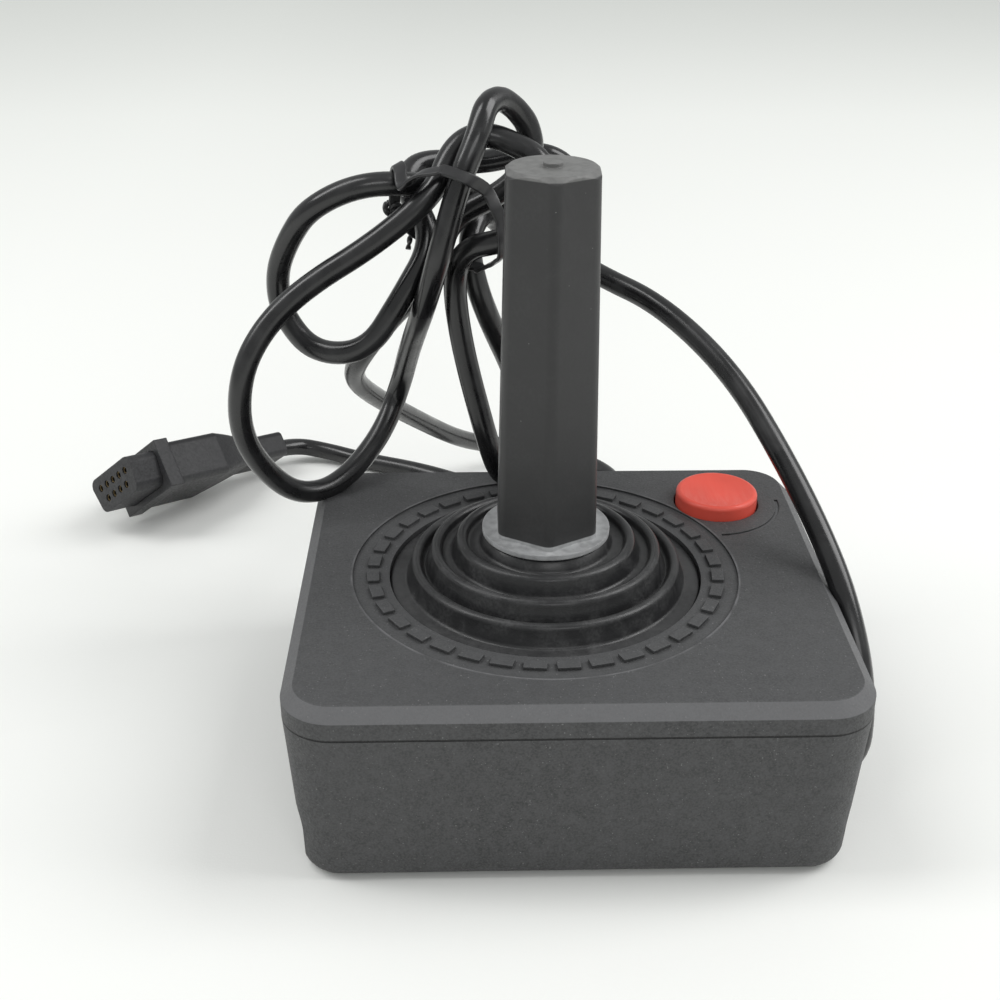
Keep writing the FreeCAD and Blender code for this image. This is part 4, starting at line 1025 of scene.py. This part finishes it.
@dataclass
class CordTie:
    """The thin vinyl strap pulled tight round the crossing strands, with its knot and twisted end."""

    route: tuple[Point, ...] = TIE_ROUTE
    flat: Point = (0.791, 0.506, 0.344)
    width: float = 2.2
    thickness: float = 0.66
    knot_centre: Point = (-29.1, 31.1, 87.2)
    knot_size: float = 0.5
    end_route: tuple[Point, ...] = (
        (-29, 31.4, 86), (-27.8, 33.2, 84.4), (-26.4, 34.3, 82.7), (-26.4, 34.2, 81), (-26.7, 33.4, 79.6),
    )

    @staticmethod
    def smooth(points: Sequence[Point], closed: bool, steps: int) -> list[Vector]:
        """Pass a smooth line through points.

        Args:
            points: The points in order.
            closed: Whether the line joins up with itself.
            steps: Its segments from one point to the next.

        Returns:
            The line's points.
        """
        corners = [Vector(point) for point in points]
        around = [corners[-1], *corners, *corners[:2]] if closed else [corners[0], *corners, corners[-1]]
        line = []
        for before, start, end, after in zip(around, around[1:], around[2:], around[3:]):
            for step in range(steps):
                share = step / steps
                line.append(0.5 * (2 * start + (end - before) * share
                                   + (2 * before - 5 * start + 4 * end - after) * share ** 2
                                   + (3 * start - before - 3 * end + after) * share ** 3))
        return line if closed else [*line, corners[-1]]

    def swept(self, line: Sequence[Vector], twist: Callable[[float], float],
              size: Callable[[float], tuple[float, float]],
              closed: bool) -> tuple[list[Point], list[list[int]]]:
        """Sweep the strap's flat section along a line.

        Args:
            line: The line's points.
            twist: The section's twist in degrees at each share of the line.
            size: The section's width and thickness at each share of the line.
            closed: Whether the line joins up with itself.

        Returns:
            The points and the faces.
        """
        sections = []
        for step, here in enumerate(line):
            before = line[step - 1] if closed or step else here
            after = line[(step + 1) % len(line)] if closed or step + 1 < len(line) else here
            along = (after - before).normalized()
            flat = Vector(self.flat)
            flat = (flat - along * flat.dot(along)).normalized()
            outward = along.cross(flat)
            share = step / (len(line) if closed else len(line) - 1)
            angle = math.radians(twist(share))
            wide = flat * math.cos(angle) + outward * math.sin(angle)
            thin = outward * math.cos(angle) - flat * math.sin(angle)
            width, thickness = size(share)
            ring = rounded_ring(width, thickness, 0.42 * thickness, 4)
            sections.append([tuple(here + wide * x + thin * y) for x, y in ring])
        return lofted_mesh(sections, closed)

    def knot_line(self) -> list[Vector]:
        """The knot's middle line, an overhand knot pulled small."""
        turns = [2 * math.pi * step / 72 for step in range(72)]
        return [Vector(self.knot_centre) + self.knot_size * Vector((
            math.sin(turn) + 1.6 * math.sin(2 * turn),
            1.1 * math.sin(3 * turn),
            1.25 * (math.cos(turn) - 1.9 * math.cos(2 * turn)),
        )) for turn in turns]

    def build(self, palette: Palette) -> list[bpy.types.Object]:
        """Make the strap, its knot and its end.

        Args:
            palette: The finishes.

        Returns:
            The pieces.
        """
        parts = (
            ("tie_strap", self.smooth(self.route, True, 4), lambda share: 0,
             lambda share: (self.width, self.thickness), True, ("cord_tie",)),
            ("tie_knot", self.knot_line(), lambda share: 0, lambda share: (1.0, 0.75), True, ()),
            ("tie_end", self.smooth(self.end_route, False, 14), lambda share: 760 * share,
             lambda share: (1.15 - 0.2 * share, 0.62), False, ()),
        )
        pieces = []
        for name, line, twist, size, closed, replaced in parts:
            vertices, faces = self.swept(line, twist, size, closed)
            piece = piece_from(name, vertices, faces, palette.tie, 60)
            finish_piece(piece, replaced)
            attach(piece, Body.BASE.value)
            pieces.append(piece)
        return pieces


# ---------------------------------------------------------------- plug


@dataclass
class Plug:
    """The plug: its moulded hood, its insulator and its contacts, all with the part's own solids."""

    nodes: tuple[str, ...] = ("plug_body", "plug_nose", "plug_contacts")

    def build(self, palette: Palette) -> list[bpy.types.Object]:
        """Dress the hood, the insulator and the contacts.

        Args:
            palette: The finishes.

        Returns:
            The dressed solids.
        """
        for name, finish in zip(self.nodes, (palette.plug, palette.nose, palette.contact)):
            dress_node(name, finish)
        return [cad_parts[name] for name in self.nodes]


# ---------------------------------------------------------------- stick and boot


@dataclass
class Boot:
    """The pleated rubber boot, in two rings that meet on the crest of the middle pleat."""

    centre: tuple[float, float] = (-3.45, 1.13)
    flange_radius: float = 26.4
    flange_top: float = 32.3
    flange_thickness: float = 1.0
    wall: float = 1.1
    top: float = 40.7
    bead_radius: float = 0.9
    trough_depth: float = 1.6
    pleat_lean: float = 0.7
    throat: float = 10.3
    lip: float = 5.0
    crests: tuple[tuple[float, float], ...] = ((22.8, 36.1), (19.4, 38.4), (15.1, 40.2))

    def trough(self, number: int) -> tuple[float, float]:
        """Where the floor inside a pleat meets the next wall: its radius and its height."""
        following = self.crests[number + 1][0] if number + 1 < len(self.crests) else self.throat
        return following + self.pleat_lean, self.crests[number][1] - self.trough_depth

    def climb(self, number: int) -> Profile:
        """The outer skin from the foot of a pleat over its crest to the foot of the next one.

        Args:
            number: Which pleat, from the outside.

        Returns:
            Radius and height of each point.
        """
        radius, height = self.crests[number]
        root, floor = self.trough(number)
        inner = radius - 2 * self.bead_radius
        return bead(radius, height, self.bead_radius) + [
            (inner, floor + 0.55), (inner - 0.16, floor + 0.16), (inner - 0.55, floor),
            (root + 0.45, floor), (root + 0.12, floor + 0.14), (root - 0.04, floor + 0.5),
        ]

    def outer_profile(self) -> Profile:
        """The flange, the outer pleat and the outer half of the middle one, as a closed profile."""
        foot = self.flange_top - self.flange_thickness
        skirt = self.crests[0][0] + self.pleat_lean
        skin = [(self.flange_radius, foot), (self.flange_radius, self.flange_top - 0.35),
                (self.flange_radius - 0.1, self.flange_top - 0.1),
                (self.flange_radius - 0.35, self.flange_top), (skirt + 0.5, self.flange_top),
                (skirt + 0.14, self.flange_top + 0.14), (skirt - 0.05, self.flange_top + 0.5)]
        skin += self.climb(0)
        radius, height = self.crests[1]
        half = bead(radius, height, self.bead_radius)
        skin += half[:len(half) // 2]
        skin += [(radius - self.bead_radius + 0.03, height), (radius - self.bead_radius, height)]
        root, floor = self.trough(0)
        lining = [(radius - self.bead_radius, height - 1.0), (radius - self.wall + 0.3, height - 1.5),
                  (root - self.wall, floor - self.wall), (self.crests[0][0] - self.wall, floor - self.wall),
                  (skirt - self.wall, foot)]
        return skin + lining

    def inner_profile(self) -> Profile:
        """From the middle pleat's crest to the lip round the shaft, as a closed profile."""
        radius, height = self.crests[1]
        half = bead(radius, height, self.bead_radius)
        skin = [(radius - self.bead_radius, height), (radius - self.bead_radius - 0.03, height)]
        skin += self.climb(1)[len(half) // 2 + 1:]
        skin += self.climb(2)
        skin += [(self.throat + 0.1, self.top - 0.3), (self.throat - 0.25, self.top), (self.lip, self.top)]
        inner_radius = self.crests[2][0]
        second_root, second_floor = self.trough(1)
        third_root, third_floor = self.trough(2)
        lining = [(self.lip, self.top - self.wall), (self.throat - self.wall, self.top - self.wall),
                  (third_root - self.wall, third_floor - self.wall),
                  (inner_radius - self.wall, third_floor - self.wall),
                  (second_root - self.wall, second_floor - self.wall),
                  (radius - self.wall - 0.6, second_floor - self.wall),
                  (radius - self.bead_radius, height - 1.0)]
        return skin + lining

    def build(self, palette: Palette) -> None:
        """Make both rings.

        Args:
            palette: The finishes.
        """
        vertices, faces = turned_mesh(self.outer_profile(), self.centre)
        outer = piece_from("boot_outer_pleats", vertices, faces, palette.boot, 50)
        finish_piece(outer, ("boot",))
        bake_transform(outer)
        vertices, faces = turned_mesh(self.inner_profile(), self.centre)
        inner = piece_from("boot_inner_pleats", vertices, faces, palette.boot, 50)
        finish_piece(inner, ("boot",))
        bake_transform(inner)


@dataclass
class Stick:
    """The hexagonal grip with its collar and cap, and the shaft and ball inside."""

    def build(self, palette: Palette) -> None:
        """Dress the stick's solids.

        Args:
            palette: The finishes.
        """
        dress_node("grip", palette.grip)
        dress_node("stick_shaft", palette.nylon)
        dress_node("pivot_ball", palette.ball)


# ---------------------------------------------------------------- housing


@dataclass
class Housing:
    """The two shells, the screws, the grommet and the fire button."""

    def build(self, palette: Palette) -> None:
        """Dress the housing's solids.

        Args:
            palette: The finishes.
        """
        dress_node("bottom_shell", palette.case)
        dress_node("top_shell", palette.case)
        dress_node("case_screws", palette.screw)
        dress_node("strain_relief", palette.relief)
        dress_node("fire_button", palette.button)


@dataclass
class Internals:
    """The board with its domes and header, and the cord's five wires."""

    jacket_end: Point = (36.9, -22.0, 6.8)
    header: Point = (26.0, -22.0, 14.8)
    header_length: float = 11.0
    wire_radius: float = 0.55

    def build(self, palette: Palette) -> None:
        """Dress the solids and make the wires.

        Args:
            palette: The finishes.
        """
        dress_node("circuit_board", palette.board)
        dress_node("wire_header", palette.header)
        for side in ("front", "rear", "left", "right", "fire"):
            dress_node(f"contact_dome_{side}", palette.spring)
        self.make_wires(palette)

    def make_wires(self, palette: Palette) -> None:
        """Fan the five wires out of the jacket and down into the header.

        Args:
            palette: The finishes.
        """
        curve = bpy.data.curves.new("header_wires", "CURVE")
        curve.dimensions = "3D"
        curve.bevel_depth = self.wire_radius * MM
        curve.bevel_resolution = 3
        curve.use_fill_caps = True
        x, y, z = self.jacket_end
        head_x, _, head_z = self.header
        count = len(palette.wires)
        for number, material in enumerate(palette.wires):
            curve.materials.append(material)
            aside = number - (count - 1) / 2
            near, far = y + aside * 4.1 / (count + 1), y + aside * self.header_length / (count + 1)
            corners = ((x, near, z), (x - 1.65, near, z), (head_x + 1.65, far, head_z + 2.2),
                       (head_x, far, head_z + 2.2), (head_x, far, head_z))
            line = curve.splines.new("NURBS")
            line.points.add(len(corners) - 1)
            for point, corner in zip(line.points, corners):
                point.co = (*(part * MM for part in corner), 1)
            line.order_u = 3
            line.use_endpoint_u = True
            line.material_index = number
        wires = bpy.data.objects.new("header_wires", curve)
        bpy.context.scene.collection.objects.link(wires)
        finish_piece(wires, ("cord_wires",))
        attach(wires, Body.BASE.value)


def main() -> None:
    """Build the scene in order and report each piece."""
    logging.basicConfig(level=logging.INFO, format="%(name)s: %(message)s")
    Studio().build()
    palette = Palette()
    cord = Cord()
    line = cord.build(palette)
    tie = CordTie().build(palette)
    plug = Plug().build(palette)
    Boot().build(palette)
    Stick().build(palette)
    Housing().build(palette)
    Internals().build(palette)


if __name__ == "__main__":
    main()
